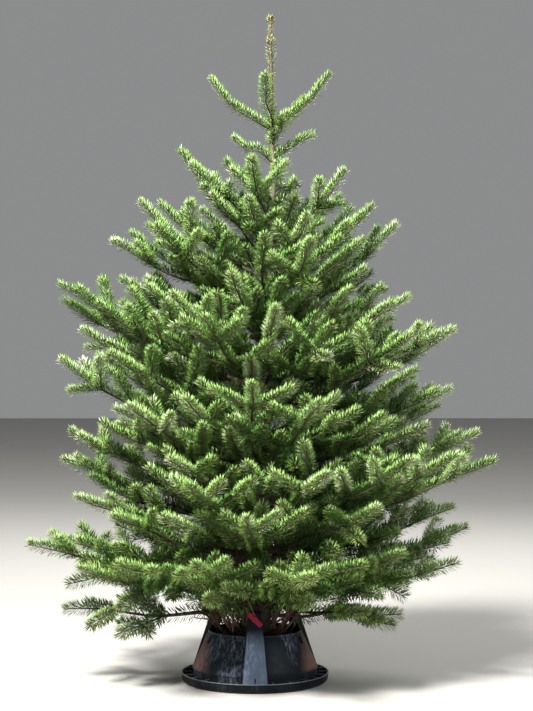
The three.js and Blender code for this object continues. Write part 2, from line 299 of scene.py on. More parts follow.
# %% The line of a limb
TWIG_TIP = 0.0016
TWIG_GROWTH = 0.0007


def twig_radius(age):
    """A shoot is about as thick as a match in its first year and thickens with age."""
    return TWIG_TIP + TWIG_GROWTH * max(age - 1, 0)


def run_of(points):
    """The length of a line of points."""
    return np.linalg.norm(np.diff(points, axis=0), axis=1).sum()


def line_from(start, direction, lengths, lift):
    """Points of a limb that sets off in a direction and turns up (lift) as it grows."""
    points = [np.asarray(start)]
    heading = unit(direction)
    for length in lengths:
        for _ in range(STEPS_PER_YEAR):
            points.append(points[-1] + heading * length / STEPS_PER_YEAR)
            heading = unit(heading + UP * lift * length / STEPS_PER_YEAR)
    return np.array(points)


print("shoots", round(2000 * twig_radius(1), 1), "mm thick when new")

# %% [markdown]
# ## Room to grow
# In the shade of its neighbours a shoot dies, which is why a crown is as dense as it is and no
# denser. Real shading could be worked out with rays, but a simpler test does: a new shoot needs
# elbow room round its tip and its middle. It also has to end inside the crown, and above and clear
# of the stand, where the screws have to be reached.

# %% Where a limb may end
OUTSIDE = ((0.3, 1.05, 1.3), (0.0, 0.01, 0.07))     # how far a side tip may stand out, by height
ELBOW_ROOM = {"tip": 0.049, "waist": 0.033}     # a shoot dies if another is closer than this
STAND_CLEAR = (0.27, 0.25)              # no shoots within this radius below this height
HATCH = (0.12, 0.315)                   # nor in front of the screw, this far to a side and this low
LOWEST_SHOOT = 0.165

limbs = []
taken = []                              # middles and tips of the newest shoots so far


def fits(points):
    """Whether a limb ends inside the crown, clear of the stand and with room for its shoot."""
    tip, waist = points[-1], (points[-1] + points[-1 - STEPS_PER_YEAR]) / 2
    middle = trunk_middle(tip[2])
    away = math.hypot(tip[0] - middle[0], tip[1])
    if away < STAND_CLEAR[0] and tip[2] < STAND_CLEAR[1]:
        return False
    if tip[2] < LOWEST_SHOOT or (abs(tip[0]) < HATCH[0] and tip[1] < 0 and tip[2] < HATCH[1]):
        return False
    reach = reach_at(tip[2], math.atan2(tip[1], tip[0] - middle[0]))
    if away > reach + np.interp(tip[2], *OUTSIDE):
        return False
    others = np.array(taken)
    if np.linalg.norm(others - tip, axis=1).min() < ELBOW_ROOM["tip"]:
        return False
    return np.linalg.norm(others - waist, axis=1).min() > ELBOW_ROOM["waist"]


def settle(limb):
    """Adds a limb, and takes up the room of its newest shoot."""
    limbs.append(limb)
    taken.append(limb.points[-1])
    taken.append((limb.points[-1] + limb.points[-1 - STEPS_PER_YEAR]) / 2)


print("a new shoot needs", ELBOW_ROOM["tip"], "m round its tip")

# %% Side limbs
SIDE_ANGLE = math.radians(52)
SIDE_ANGLE_RANGE = (0.84, 1.16)
SIDE_TILT = 0.5
SIDE_LIFT = 1.6
SIDE_SHARE = {1: 0.88, 2: 0.72}         # length of a side shoot against its parent's year
SIDE_LENGTH_RANGE = (0.85, 1.1)
SHORTENED = (1.0, 0.8, 0.62)            # a limb without room is tried this much shorter
SIDE_TIP = 0.8                          # radius of its tip against a main bough's
FADE_PER_JOINT = 0.09                   # how much shorter side shoots are at each older joint
KEEP_SIDE = (1.0, 1.0, 0.9, 0.7, 0.5)   # chance of a side shoot at each older joint
KEEP_UPRIGHT = 0.5                      # chance of one that stands up or hangs down
UPRIGHT_WAY = (0.8, (-0.6, 0.7), 0.3)   # how far it points ahead, down or up, and aside
UPRIGHT_SHARE = 0.7
UPRIGHT_YEARS = 2
MOST_ORDER = 2
DROOP_HEIGHTS = (0.20, 0.46)            # below these side shoots hang more and turn up less
DROOP = 0.30


def add_side(place, heading, lengths, parent, order):
    """One side limb, shortened until it fits, or none."""
    lift = SIDE_LIFT * np.interp(place[2], DROOP_HEIGHTS, (0, 1))
    for share in SHORTENED:
        points = line_from(place, heading, lengths * share, lift)
        if fits(points):
            break
    else:
        return
    ages = list(range(len(lengths), 0, -1))
    radii = np.interp(np.arange(len(points)), [0, len(points) - 1],
                      [twig_radius(len(lengths) + 1), TWIG_TIP * SIDE_TIP])
    settle(Limb(points, radii, ages, order, parent.bough))


def grow_sides(parent):
    """Pairs of side limbs at each joint of a limb, and some that stand up or hang down."""
    order = parent.order + 1
    count = len(parent.years)
    year = run_of(parent.points[-1 - STEPS_PER_YEAR:])
    for age in range(1, count):
        at = (count - age) * STEPS_PER_YEAR
        place = parent.points[at]
        ahead = unit(parent.points[at + 1] - parent.points[at - 1])
        side = unit(np.cross(ahead, UP))
        over = np.cross(side, ahead)
        shoot = year * SIDE_SHARE[order] * (1 - FADE_PER_JOINT * (age - 1))
        for hand in (-1, 1):
            if rng.random() > KEEP_SIDE[min(age, len(KEEP_SIDE)) - 1]:
                continue
            angle = SIDE_ANGLE * rng.uniform(*SIDE_ANGLE_RANGE)
            tilt = rng.uniform(0.0, SIDE_TILT) - DROOP * np.interp(place[2], DROOP_HEIGHTS, (1, 0))
            heading = ahead * math.cos(angle) + hand * side * math.sin(angle) + over * tilt
            lengths = shoot * rng.uniform(*SIDE_LENGTH_RANGE, age)
            add_side(place, heading, lengths, parent, order)
        if rng.random() < KEEP_UPRIGHT:
            forward, up_or_down, aside = UPRIGHT_WAY
            heading = ahead * forward + over * rng.choice(up_or_down)
            heading = heading + side * rng.uniform(-aside, aside)
            lengths = shoot * UPRIGHT_SHARE * np.ones(min(age, UPRIGHT_YEARS))
            add_side(place, heading, lengths, parent, MOST_ORDER)


print("side limbs leave at", round(math.degrees(SIDE_ANGLE)), "degrees")

# %% [markdown]
# ## Main boughs
# Every mass has its own main bough, from the trunk to its furthest tip. A real fir also has many
# lesser boughs between these. A few stand where this tree has them. The tips of the others are
# strewn over the outline of the crown by throwing darts: a random place is kept if no other tip is
# closer than a hand's width. Each bough then runs back from its tip to the trunk, which it leaves
# lower down. How steeply it climbs depends on its height on the tree: steep and young at the top,
# almost level at the foot.

# %% What a bough is
SLOPE_HEIGHTS = (0.15, 0.22, 0.40, 0.62, 0.85, 1.05, 1.30, 1.55)
SLOPES = (0.03, 0.14, 0.25, 0.32, 0.38, 0.44, 0.60, 0.76)
LOWEST_START = 0.215


class Bough:
    """A main bough: its mass, its tip, and where it leaves the trunk."""

    def __init__(self, mass, tip, start_height):
        self.mass = mass
        self.tip = np.asarray(tip)
        self.start = trunk_middle(start_height)
        self.reach = float(np.linalg.norm((self.tip - self.start)[:2]))


def start_of(tip):
    """Height on the trunk at which the bough of a tip starts."""
    reach = math.hypot(tip[0] - trunk_middle(tip[2])[0], tip[1])
    return max(tip[2] - reach * float(np.interp(tip[2], SLOPE_HEIGHTS, SLOPES)), LOWEST_START)


def nearest_mass(point):
    return min(full_masses, key=lambda mass: mass.rays.find_nearest(Vector(point))[3])


boughs = [Bough(mass, mass.tip, mass.hub[2]) for mass in masses]
print(len(boughs), "boughs, one for each mass")

# %% Tips on the outline
TIP_SPACING = ((0.3, 1.0, 1.4), (0.160, 0.148, 0.112))      # between tips, by height
DARTS = 6000
DART_HEIGHTS = (0.29, 1.54)
OUTER_SHARE = 0.66                      # share of the darts that land on the crown's outside
OUTER_REACH = (0.86, 1.0)
INNER_REACH = (0.4, 0.8)
EXTRA_TIPS = (      # mass, tip, and the height on the trunk where the bough starts
    ("tier1_front", (0.078, -0.075, 1.612), 1.545),
    ("tier6_left", (-0.560, 0.080, 0.725), 0.520),
    ("tier6_right", (0.655, -0.060, 0.725), 0.500),
    ("tier5_right", (0.468, 0.010, 1.118), 0.930),
    ("tier5_left", (-0.585, 0.000, 1.150), 0.880),
    ("tier8_front", (0.030, -0.440, 0.330), 0.250),
    ("tier9_right", (0.415, -0.040, 0.160), 0.220),
    ("tier8_front", (-0.130, -0.390, 0.285), 0.225),
    ("tier8_front", (0.150, -0.400, 0.290), 0.225),
)
mass_named = {mass.label: mass for mass in masses}
for label, tip, start in EXTRA_TIPS:
    boughs.append(Bough(mass_named[label], tip, start))
tips = [bough.tip for bough in boughs]
for _ in range(DARTS):
    z = rng.uniform(*DART_HEIGHTS)
    azimuth = rng.uniform(-math.pi, math.pi)
    reach = reach_at(z, azimuth)
    if rng.random() > reach / reach_map.max():
        continue
    share = rng.uniform(*(OUTER_REACH if rng.random() < OUTER_SHARE else INNER_REACH))
    tip = trunk_middle(z) + away_from(azimuth) * reach * share
    if min(np.linalg.norm(tip - other) for other in tips) > np.interp(z, *TIP_SPACING):
        tips.append(tip)
        boughs.append(Bough(nearest_mass(tip), tip, start_of(tip)))
print(len(boughs), "boughs with those on the outline")

# %% Short boughs between the whorls
BETWEEN_FOOT, BETWEEN_TOP = 0.36, 1.44  # short boughs leave the trunk between these heights
BETWEEN_STEP = 0.0165
BETWEEN_SWING = 0.3
BETWEEN_SHARE = (0.34, 0.62)            # their reach as a share of the crown's
BETWEEN_RISE = 0.05
BETWEEN_SLOPE = (0.40, 0.70)
BETWEEN_LEAST = 0.05                    # none is shorter than this

for count, z in enumerate(np.arange(BETWEEN_FOOT, BETWEEN_TOP, BETWEEN_STEP)):
    azimuth = count * GOLDEN + rng.uniform(-BETWEEN_SWING, BETWEEN_SWING)
    share = rng.uniform(*BETWEEN_SHARE)
    reach = share * reach_at(z + BETWEEN_RISE, azimuth)
    tip = trunk_middle(z) + away_from(azimuth) * reach + UP * reach * rng.uniform(*BETWEEN_SLOPE)
    if reach > BETWEEN_LEAST:
        boughs.append(Bough(nearest_mass(tip), tip, z))
print(len(boughs), "boughs with the short ones")

# %% [markdown]
# ## From bough to fan
# A bough isn't straight. It leaves the trunk flat, curls up towards its tip, and snakes a little
# from year to year. Its inner fifth has lost its shoots. From there on it carries a side limb at
# each year's joint, and those carry their own.

# %% The line of a bough
CURLS = (                               # how late a bough climbs, by where it starts
    (0.2, 0.5, 1.25, 1.45, 1.52, 1.58), (0.40, 0.65, 0.50, 0.30, 0.05, 0.78))
SWAY, SWAY_TURNS = 0.042, 5.5           # to the sides
WAVE, WAVE_TURNS = 0.040, 9.0           # up and down


def bough_points(bough, distances):
    """Points of a bough at distances out from the trunk's middle."""
    share = distances / bough.reach
    out = (bough.tip - bough.start) * np.array([1, 1, 0]) / bough.reach
    side = np.array([-out[1], out[0], 0])
    rise = bough.tip[2] - bough.start[2]
    curl = float(np.interp(bough.start[2], *CURLS))
    climb = rise * ((1 - curl) * share + curl * share ** 2)
    bow = share * (1 - share)
    sway = SWAY * np.sin(share * SWAY_TURNS + bough.sway) * bow
    level = bough.start + out * distances[:, None] + side * sway[:, None]
    wave = WAVE * np.sin(share * WAVE_TURNS + bough.sway) * bow
    return level + UP * (climb + wave)[:, None]


# %% Grow the boughs and their fans
YEAR_HEIGHTS = (0.2, 0.8, 1.2, 1.6)
YEAR_LENGTHS = (0.125, 0.138, 0.150, 0.170)
YEAR_RANGE = (0.92, 1.08)
FEWEST_YEARS, MOST_YEARS = 2, 5
BARE_SHARE = 0.22
SLIM_BARE = 0.004                       # the shoots of the two top whorls are covered all along
BOUGH_FOOT, BOUGH_THICKENS = 0.0020, 0.0125     # a bough's radius, and how it grows with reach
BOUGH_TAPER = 0.7
BARE_STEPS = 8
TIP_CLEAR = 0.022                       # a limb stops short of its tip by what its needles add
SLIM_TIP_CLEAR = 0.008

bare_limbs = []
for number, bough in enumerate(boughs):
    bough.sway = rng.uniform(0, 6.28)
    slim = bough.mass.tier <= 2
    year = float(np.interp(bough.tip[2], YEAR_HEIGHTS, YEAR_LENGTHS)) * rng.uniform(*YEAR_RANGE)
    bare = SLIM_BARE if slim else BARE_SHARE * bough.reach
    slope = (bough.tip[2] - bough.start[2]) / bough.reach
    length = (bough.reach - bare) * math.hypot(1, slope)
    years = 1 if slim else int(np.clip(round(length / year), FEWEST_YEARS, MOST_YEARS))
    clear = SLIM_TIP_CLEAR if slim else TIP_CLEAR
    marks = np.linspace(bare, bough.reach - clear, years * STEPS_PER_YEAR + 1)
    points = bough_points(bough, marks)
    thick = BOUGH_FOOT + BOUGH_THICKENS * bough.reach
    thin = thick * BOUGH_TAPER
    radii = np.interp(np.arange(len(points)), [0, len(points) - 1], [thin, TWIG_TIP])
    root = bough_points(bough, np.linspace(0, bare, BARE_STEPS))
    bare_limbs.append((root, np.linspace(thick, thin, BARE_STEPS)))
    settle(Limb(points, radii, list(range(years, 0, -1)), 0, number))
for limb in limbs:                      # the list grows as the loop runs, one order after another
    if limb.order < MOST_ORDER:
        grow_sides(limb)
shoots = sum(len(limb.years) for limb in limbs)
run = sum(run_of(limb.points) for limb in limbs)
print(len(boughs), "boughs,", len(limbs), "limbs,", shoots, "yearly shoots,", round(run, 1), "m")

# %% [markdown]
# ## Needles
# A needle is flat, about 30 mm long and some 3 mm wide, glossy green above and silvery below. A
# closed sliver of four faces is enough: two green ones that meet in a ridge, two pale ones beneath.
# Needles sit in a spiral round the shoot, but those of the underside twist up to its sides, so a
# shoot looks like a brush from above and shows its dark stem from below. Only the low, shaded
# shoots keep them nearly all round. All the needles of a shoot are worked out at once, as arrays,
# because a quarter of a million separate objects would be far too slow.

# %% One spray of needles
NEEDLE_LENGTH = 0.033
NEEDLE_LENGTH_RANGE = (0.86, 1.06)
NEEDLE_WIDTH = 0.0034
NEEDLE_WIDTH_RANGE = (0.9, 1.1)
WIDTH_BY_AGE = {1: 1.0, 2: 1.05, 3: 1.25, 4: 1.3, 5: 1.3}
OLDEST = 5
LOWEST_NEEDLE = (                       # how far round from the top needles sit, by height
    (0.24, 0.50), (math.radians(172), math.radians(126)))
TURN_SPREAD, LEAN_SPREAD, FACE_SPREAD = 0.12, 0.08, 0.22     # how unlike their neighbours they are
SPREAD = math.radians(63)               # angle between a needle and its shoot
FLANK_SPREAD = math.radians(4)          # and how much more those of the sides lean out
TIP_CLOSES = math.radians(30)           # and how much less those at the tip
FLANK_SHORTER = 0.10
FACE_UP, FACE_AHEAD = 0.8, 0.45         # a needle's upper side looks up and a little forwards
WIDEST_AT = 0.62                        # its widest place, and how far that sinks under its ridge
WIDEST_SINKS = 0.2
ROOTED = 0.8                            # share of the shoot's radius at which it is rooted
FROM_FRONT = np.array([0.0, -1.0, 0.2])     # the upper side of an upright shoot's needles


def needle_corners(points, radii, count, age, all_round=False, size=1.0, spread=SPREAD):
    """Four corners for each needle of one shoot."""
    gone = np.concatenate([[0], np.cumsum(np.linalg.norm(np.diff(points, axis=0), axis=1))])
    along = (np.arange(count) + rng.uniform(0.1, 0.9, count)) / count
    s = along * gone[-1]
    base = np.column_stack([np.interp(s, gone, points[:, i]) for i in range(3)])
    tangents = unit(np.gradient(points, gone, axis=0))
    ahead = unit(np.column_stack([np.interp(s, gone, tangents[:, i]) for i in range(3)]))
    reference = FROM_FRONT if all_round else UP
    over = unit(reference - (ahead @ reference)[:, None] * ahead)
    side = np.cross(ahead, over)
    turn = (np.arange(count) * GOLDEN + rng.uniform(0, 6.28)) % (2 * math.pi) - math.pi
    if not all_round:
        turn = turn / math.pi * np.interp(points[-1, 2], *LOWEST_NEEDLE)
    turn = turn + rng.normal(0, TURN_SPREAD, count)
    flank = np.abs(np.sin(turn))
    lean = spread + FLANK_SPREAD * flank - TIP_CLOSES * along ** 4
    lean = lean + rng.normal(0, LEAN_SPREAD, count)
    out = np.cos(turn)[:, None] * over + np.sin(turn)[:, None] * side
    way = unit(np.cos(lean)[:, None] * ahead + np.sin(lean)[:, None] * out)
    ends = np.minimum(1, 0.6 + 3.2 * along) * np.minimum(1, 0.8 + 2.2 * (1 - along))
    length = size * NEEDLE_LENGTH * (1.0 - FLANK_SHORTER * flank) * ends
    length = length * rng.uniform(*NEEDLE_LENGTH_RANGE, count)
    face = FACE_UP * over + FACE_AHEAD * ahead + rng.normal(0, FACE_SPREAD, (count, 3))
    face = unit(face - (face * way).sum(1)[:, None] * way)
    across = np.cross(way, face)
    width = NEEDLE_WIDTH * WIDTH_BY_AGE[min(age, OLDEST)] * size
    width = width * rng.uniform(*NEEDLE_WIDTH_RANGE, count)
    start = base + out * np.interp(s, gone, radii)[:, None] * ROOTED
    middle = start + way * (length * WIDEST_AT)[:, None] - face * (width * WIDEST_SINKS)[:, None]
    left = middle + across * (width / 2)[:, None]
    right = middle - across * (width / 2)[:, None]
    tip = start + way * length[:, None]
    return np.stack([start, left, right, tip], axis=1)


print("needles of", round(1000 * NEEDLE_LENGTH), "mm by", round(1000 * NEEDLE_WIDTH, 1), "mm")

# %% How many needles each shoot gets
NEEDLE_BUDGET = 262_000
COVER_BY_AGE = {1: 1.0, 2: 0.72, 3: 0.36, 4: 0.28, 5: 0.2}     # old shoots have lost needles

all_shoots = []
for limb in limbs:
    for index, age in enumerate(limb.years):
        points, radii = limb.stretch(index)
        weight = run_of(points) * COVER_BY_AGE[min(age, OLDEST)]
        all_shoots.append((limb, points, radii, age, weight))
per_metre = NEEDLE_BUDGET / sum(weight for *_, weight in all_shoots)
print("needles for each cm of new shoot:", round(per_metre / 100, 1))

# %% [markdown]
# ## Dealing out the greens
# From a few metres a fir is many greens at once. One green with a pattern would look painted on, so
# each spray takes one of a few plain greens instead, and most of its needles a neighbour of that
# one: deep ones for the old growth, and as painted shade for the inside of the crown and for some
# sprays by height, fresh ones for the newest shoots, and the palest, partly paler growth and partly
# a painted highlight, for their tips. The list below runs from dark to light, so that a step along
# it is a step in tone.

# %% Sprays and their tones
DEEP, BLUE, MID, OLIVE, FRESH, PALE_HIGHLIGHT, STRAW = range(7)
TONES_BY_AGE = {1: (MID, OLIVE, FRESH, FRESH, FRESH), 2: (MID, BLUE, OLIVE), 3: (DEEP, MID, DEEP)}
OLDEST_TONE = 3
PALE_HIGHLIGHT_FROM = 0.76                        # the newest shoots are a tone paler from here to the tip, as a painted highlight
SLIM_SIZE = 0.94                        # size of the needles on the two top whorls
NO_HIGHLIGHT_BELOW = 0.50                      # no painted highlight below this height, where the crown is shaded: no tips of the palest tone
TONE_SPREAD = {                         # share of a spray's needles so many tones away
    -2: 0.06, -1: 0.20, 0: 0.42, 1: 0.23, 2: 0.09}
PAINTED_SHADE_BY_HEIGHT = (                              # share of the sprays painted a tone darker as shade, by height
    (0.25, 0.45, 0.9, 1.3), (0.7, 0.2, 0.1, 0.6))
PAINTED_SHADE_INSIDE = (0.80, 0.58)                   # inside these shares of the crown's reach a tone darker, as painted shade
FEWEST_NEEDLES = 4

sprays = {}
for limb, points, radii, age, weight in all_shoots:
    count = int(round(weight * per_metre))
    if count < FEWEST_NEEDLES:
        continue
    mass = boughs[limb.bough].mass
    slim = mass.tier <= 2
    tone = int(rng.choice(TONES_BY_AGE[min(age, OLDEST_TONE)]))
    end = points[-1]
    # painted shade: side sprays deep inside the crown are a tone or two darker
    if limb.order and not slim:
        middle = trunk_middle(end[2])
        away = math.hypot(end[0] - middle[0], end[1])
        reach = reach_at(end[2], math.atan2(end[1], end[0] - middle[0]))
        tone -= sum(away < share * reach for share in PAINTED_SHADE_INSIDE)
    # painted shade: a share of the sprays a tone darker, most low down and near the top
    tone -= rng.random() < np.interp(end[2], *PAINTED_SHADE_BY_HEIGHT)
    spread = rng.choice(list(TONE_SPREAD), count, p=list(TONE_SPREAD.values()))
    tones = np.clip(tone + spread, DEEP, PALE_HIGHLIGHT)
    # painted highlight: the tips of the newest shoots a tone paler
    if age == 1:
        tones = np.clip(tones + (np.arange(count) > PALE_HIGHLIGHT_FROM * count), DEEP, PALE_HIGHLIGHT)
    # no palest tone on the two top whorls, and no painted highlight low in the shaded crown
    if slim or end[2] < NO_HIGHLIGHT_BELOW:
        tones = np.minimum(tones, FRESH)
    corners = needle_corners(points, radii, count, age, size=SLIM_SIZE if slim else 1.0)
    sprays.setdefault(mass.label, []).append((corners, tones))
print(sum(len(entries) for entries in sprays.values()), "sprays")

# %% [markdown]
# ## Needles of the leader
# The leader is the year's growth at the very top. It carries short needles all round, many of them
# straw-coloured, longest where the shoot grew fastest and crowded round the bud. The joint below it
# is still well covered with green ones. Lower down the stem soon loses them.

# %% Clothe the stem
JOINT_TONES = (MID, OLIVE, FRESH)
LEADER_TONES = (STRAW, STRAW, DEEP, OLIVE)
BUD_TONES = (STRAW, DEEP, MID)
STEM_COVER = (      # from height, to height, needles for each cm, their size, their tones
    (1.420, 1.500, 3.0, 0.50, JOINT_TONES), (1.500, 1.604, 12.0, 0.66, JOINT_TONES),
    (1.604, 1.690, 12.0, 0.46, LEADER_TONES), (1.690, 1.785, 12.0, 0.42, LEADER_TONES),
    (1.785, 1.855, 12.0, 0.66, LEADER_TONES), (1.850, 1.900, 16.0, 0.36, LEADER_TONES),
    (1.900, 1.914, 34.0, 0.56, BUD_TONES),
)
STEM_STEPS = 6
STEM_LEAN = math.radians(58)

for foot, top, per_cm, size, tones in STEM_COVER:
    points = np.array([trunk_middle(z) for z in np.linspace(foot, top, STEM_STEPS)])
    radii = np.array([trunk_radius_at(z) for z in points[:, 2]])
    count = int((top - foot) * 100 * per_cm)
    corners = needle_corners(points, radii, count, 1, all_round=True, size=size, spread=STEM_LEAN)
    sprays["tier1_front"].append((corners, rng.choice(tones, count)))
print("stem needles up to", STEM_COVER[-1][1], "m")

# %% [markdown]
# ## Needle colours
# A needle has a waxy skin, so each green is a plain glossy material, the deep ones a little less so.
# The undersides share two silvery tones, one for the dark needles and one for the light. No colour
# depends on a pattern, so nothing about the needles has to be painted on an image to be kept.

# %% Needle materials
GREEN_TONES = {
    "needle_deep": (0.026, 0.072, 0.010),
    "needle_blue": (0.050, 0.132, 0.024),
    "needle_mid": (0.080, 0.178, 0.015),
    "needle_olive": (0.145, 0.262, 0.034),
    "needle_fresh": (0.300, 0.415, 0.125),
    # the palest tone is partly paler new growth and partly a painted highlight
    "needle_pale_highlight": (0.570, 0.630, 0.410),
    "needle_straw": (0.520, 0.480, 0.170),
}
UNDER_TONES = {"needle_under": (0.080, 0.170, 0.028), "needle_under_pale": (0.21, 0.35, 0.09)}
NEEDLE_ROUGHNESS = 0.38
NEEDLE_GLOSS = ((0.07, 0.40), (0.22, 0.50))     # specular level by how green it is

needle_materials = []
for name, colour in {**GREEN_TONES, **UNDER_TONES}.items():
    material = plain_material(name, colour, NEEDLE_ROUGHNESS)
    gloss = float(np.interp(colour[1], *NEEDLE_GLOSS))
    material.node_tree.nodes["Principled BSDF"].inputs["Specular IOR Level"].default_value = gloss
    needle_materials.append(material)
print(len(GREEN_TONES), "greens above,", len(UNDER_TONES), "below")

# %% Meshes from arrays
NEEDLE_FACES = np.array([[0, 1, 3], [0, 3, 2], [0, 2, 1], [1, 2, 3]])


def mesh_from_arrays(name, corners, faces, slots, materials):
    """A mesh object of triangles from arrays, with a material slot for each face."""
    mesh = bpy.data.meshes.new(name)
    mesh.vertices.add(len(corners))
    mesh.vertices.foreach_set("co", corners.astype(np.float32).ravel())
    mesh.loops.add(faces.size)
    mesh.loops.foreach_set("vertex_index", faces.astype(np.int32).ravel())
    mesh.polygons.add(len(faces))
    sides = faces.shape[1]
    mesh.polygons.foreach_set("loop_start", np.arange(0, faces.size, sides, dtype=np.int32))
    mesh.polygons.foreach_set("material_index", slots.astype(np.int32))
    for material in materials:
        mesh.materials.append(material)
    mesh.update(calc_edges=True)
    piece = bpy.data.objects.new(name, mesh)
    bpy.context.scene.collection.objects.link(piece)
    return piece


total = 0
for label, entries in sprays.items():
    corners = np.concatenate([corner for corner, tones in entries])
    tones = np.concatenate([tones for corner, tones in entries])
    count = len(corners)
    faces = (NEEDLE_FACES[None] + 4 * np.arange(count)[:, None, None]).reshape(-1, 3)
    under = len(GREEN_TONES) + (tones >= OLIVE)
    slots = np.stack([tones, tones, under, under], axis=1).ravel()
    corners = corners.reshape(-1, 3)
    piece = mesh_from_arrays(f"needles_{label}", corners, faces, slots, needle_materials)
    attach(piece, "root")
    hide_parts(f"foliage_{label}")
    total += len(faces)
print(len(sprays), "needle pieces,", total, "triangles")

# %% [markdown]
# ## Shader tools
# Bark and worn plastic are both built from a few kinds of node. A short function for each kind keeps
# a recipe readable: it adds the node, joins up what it is given, and hands back its output.

# %% Shader helpers
SOCKET_KINDS = {tuple: "NodeSocketColor", float: "NodeSocketFloat", type(None): "NodeSocketVector"}


def new_group(name, inputs):
    """A node group that takes a place and other named inputs, and gives colour and surface."""
    group = bpy.data.node_groups.new(name, "ShaderNodeTree")
    for key, value in {"Place": None, **inputs}.items():
        socket = group.interface.new_socket(name=key, in_out="INPUT",
                                            socket_type=SOCKET_KINDS[type(value)])
        if value is not None:
            socket.default_value = value
    for key, kind in (("Color", "Color"), ("Roughness", "Float"), ("Height", "Float")):
        group.interface.new_socket(name=key, in_out="OUTPUT", socket_type=f"NodeSocket{kind}")
    return group, group.nodes.new("NodeGroupInput").outputs


def shader_node(tree, kind, inputs=(), **settings):
    """Adds a node; `inputs` pairs an input with a value or with the output of another node."""
    node = tree.nodes.new(kind)
    for name, value in settings.items():
        setattr(node, name, value)
    for key, value in dict(inputs).items():
        if isinstance(value, bpy.types.NodeSocket):
            tree.links.new(value, node.inputs[key])
        else:
            node.inputs[key].default_value = value
    return node


def stretched(tree, place, stretch, scale):
    """Coordinates scaled by a number and drawn out along an axis."""
    by = shader_node(tree, "ShaderNodeVectorMath", {0: place, 1: stretch}, operation="MULTIPLY")
    return shader_node(tree, "ShaderNodeVectorMath", {0: by.outputs[0], "Scale": scale},
                       operation="SCALE").outputs[0]


def noise(tree, vector, scale, detail):
    return shader_node(tree, "ShaderNodeTexNoise", {
        "Vector": vector, "Scale": scale, "Detail": detail}).outputs["Fac"]


def between(tree, value, low, high, to_low=0.0, to_high=1.0):
    """A value mapped from one range to another, and kept inside it."""
    return shader_node(tree, "ShaderNodeMapRange", {
        "Value": value, "From Min": low, "From Max": high, "To Min": to_low, "To Max": to_high,
    }).outputs["Result"]


def sum_of(tree, a, b, operation="ADD"):
    """Two values put together by a sum, or by another operation that is named."""
    return shader_node(tree, "ShaderNodeMath", {0: a, 1: b}, operation=operation).outputs[0]


def times(tree, a, b):
    return sum_of(tree, a, b, "MULTIPLY")


def mixed(tree, share, first, second):
    """The first colour turned into the second by a share."""
    node = shader_node(tree, "ShaderNodeMix", {0: share, 6: first, 7: second}, data_type="RGBA")
    return node.outputs[2]


def place_group(material, group, values, bump_distance):
    """Puts a group in a material, with a bump from its height, and gives back its node."""
    tree = material.node_tree
    shader = tree.nodes["Principled BSDF"]
    spot = shader_node(tree, "ShaderNodeTexCoord").outputs["Object"]
    node = shader_node(tree, "ShaderNodeGroup", {"Place": spot, **values}, node_tree=group)
    bump = shader_node(tree, "ShaderNodeBump", {"Height": node.outputs["Height"],
                                                "Distance": bump_distance})
    tree.links.new(node.outputs["Roughness"], shader.inputs["Roughness"])
    tree.links.new(bump.outputs["Normal"], shader.inputs["Normal"])
    return node


# %% [markdown]
# ## Bark
# Young fir bark is smooth and grey-green, with small resin blisters and faint rings; at the butt it
# turns brown-grey and cracks along the trunk. One node group makes those marks, and the trunk, the
# boughs and the twigs each place it with their own values. Noise drawn out along the trunk gives the
# cracks, round cells the blisters, and a broad noise the patches. The group gives out a colour, a
# roughness and a height for a Bump node.

# %% The bark group
def bark_group():
    group, given = new_group("bark_grain", {
        "Bark": (0.12, 0.10, 0.07, 1), "Patch": (0.20, 0.19, 0.13, 1),
        "Crack": (0.03, 0.022, 0.016, 1), "Scale": 60.0, "Crack Share": 0.5})
    fibres = noise(group, stretched(group, given["Place"], (1, 1, 0.16), given["Scale"]), 1.6, 5)
    blisters = shader_node(group, "ShaderNodeTexVoronoi", {
        "Vector": stretched(group, given["Place"], (1, 1, 0.6), given["Scale"]), "Scale": 2.2})
    patches = noise(group, stretched(group, given["Place"], (1, 1, 0.5), given["Scale"]), 0.16, 3)
    crack = times(group, between(group, fibres, 0.52, 0.62), given["Crack Share"])
    blister = between(group, blisters.outputs["Distance"], 0.10, 0.32, 1, 0)
    skin = mixed(group, between(group, patches, 0.42, 0.62), given["Bark"], given["Patch"])
    result = shader_node(group, "NodeGroupOutput", {
        "Color": mixed(group, crack, skin, given["Crack"]),
        "Roughness": between(group, fibres, 0.3, 0.7, 0.60, 0.86),
        "Height": sum_of(group, times(group, blister, 0.5), crack, "SUBTRACT"),
    })
    print("bark group gives", [socket.name for socket in result.inputs if socket.name])
    return group


bark_grain = bark_group()

# %% [markdown]
# ## Twigs and boughs
# There are thousands of twigs, so each is a slim tube of a few sides along its limb's line. The main
# boughs are thicker and show where they leave the trunk, so their tubes have more sides, swell into
# a collar at the trunk and are a little uneven. Three browns are dealt out bough by bough.

# %% Bark materials
BARK_TONES = {
    "twig_bark": (0.038, 0.025, 0.012),
    "bough_bark_brown": (0.085, 0.056, 0.030),
    "bough_bark_grey": (0.105, 0.080, 0.050),
    "bough_bark_dark": (0.055, 0.038, 0.022),
}


def barked(name, colour, roughness, scale, crack_share, relief):
    """A plain bark colour with the relief of the bark group."""
    material = plain_material(name, colour, roughness)
    place_group(material, bark_grain, {"Scale": scale, "Crack Share": crack_share}, relief)
    return material


bark_materials = [barked(name, colour, 0.7, 90.0, 0.35, 0.0008)
                  for name, colour in BARK_TONES.items()]
print("bark tones:", *BARK_TONES)

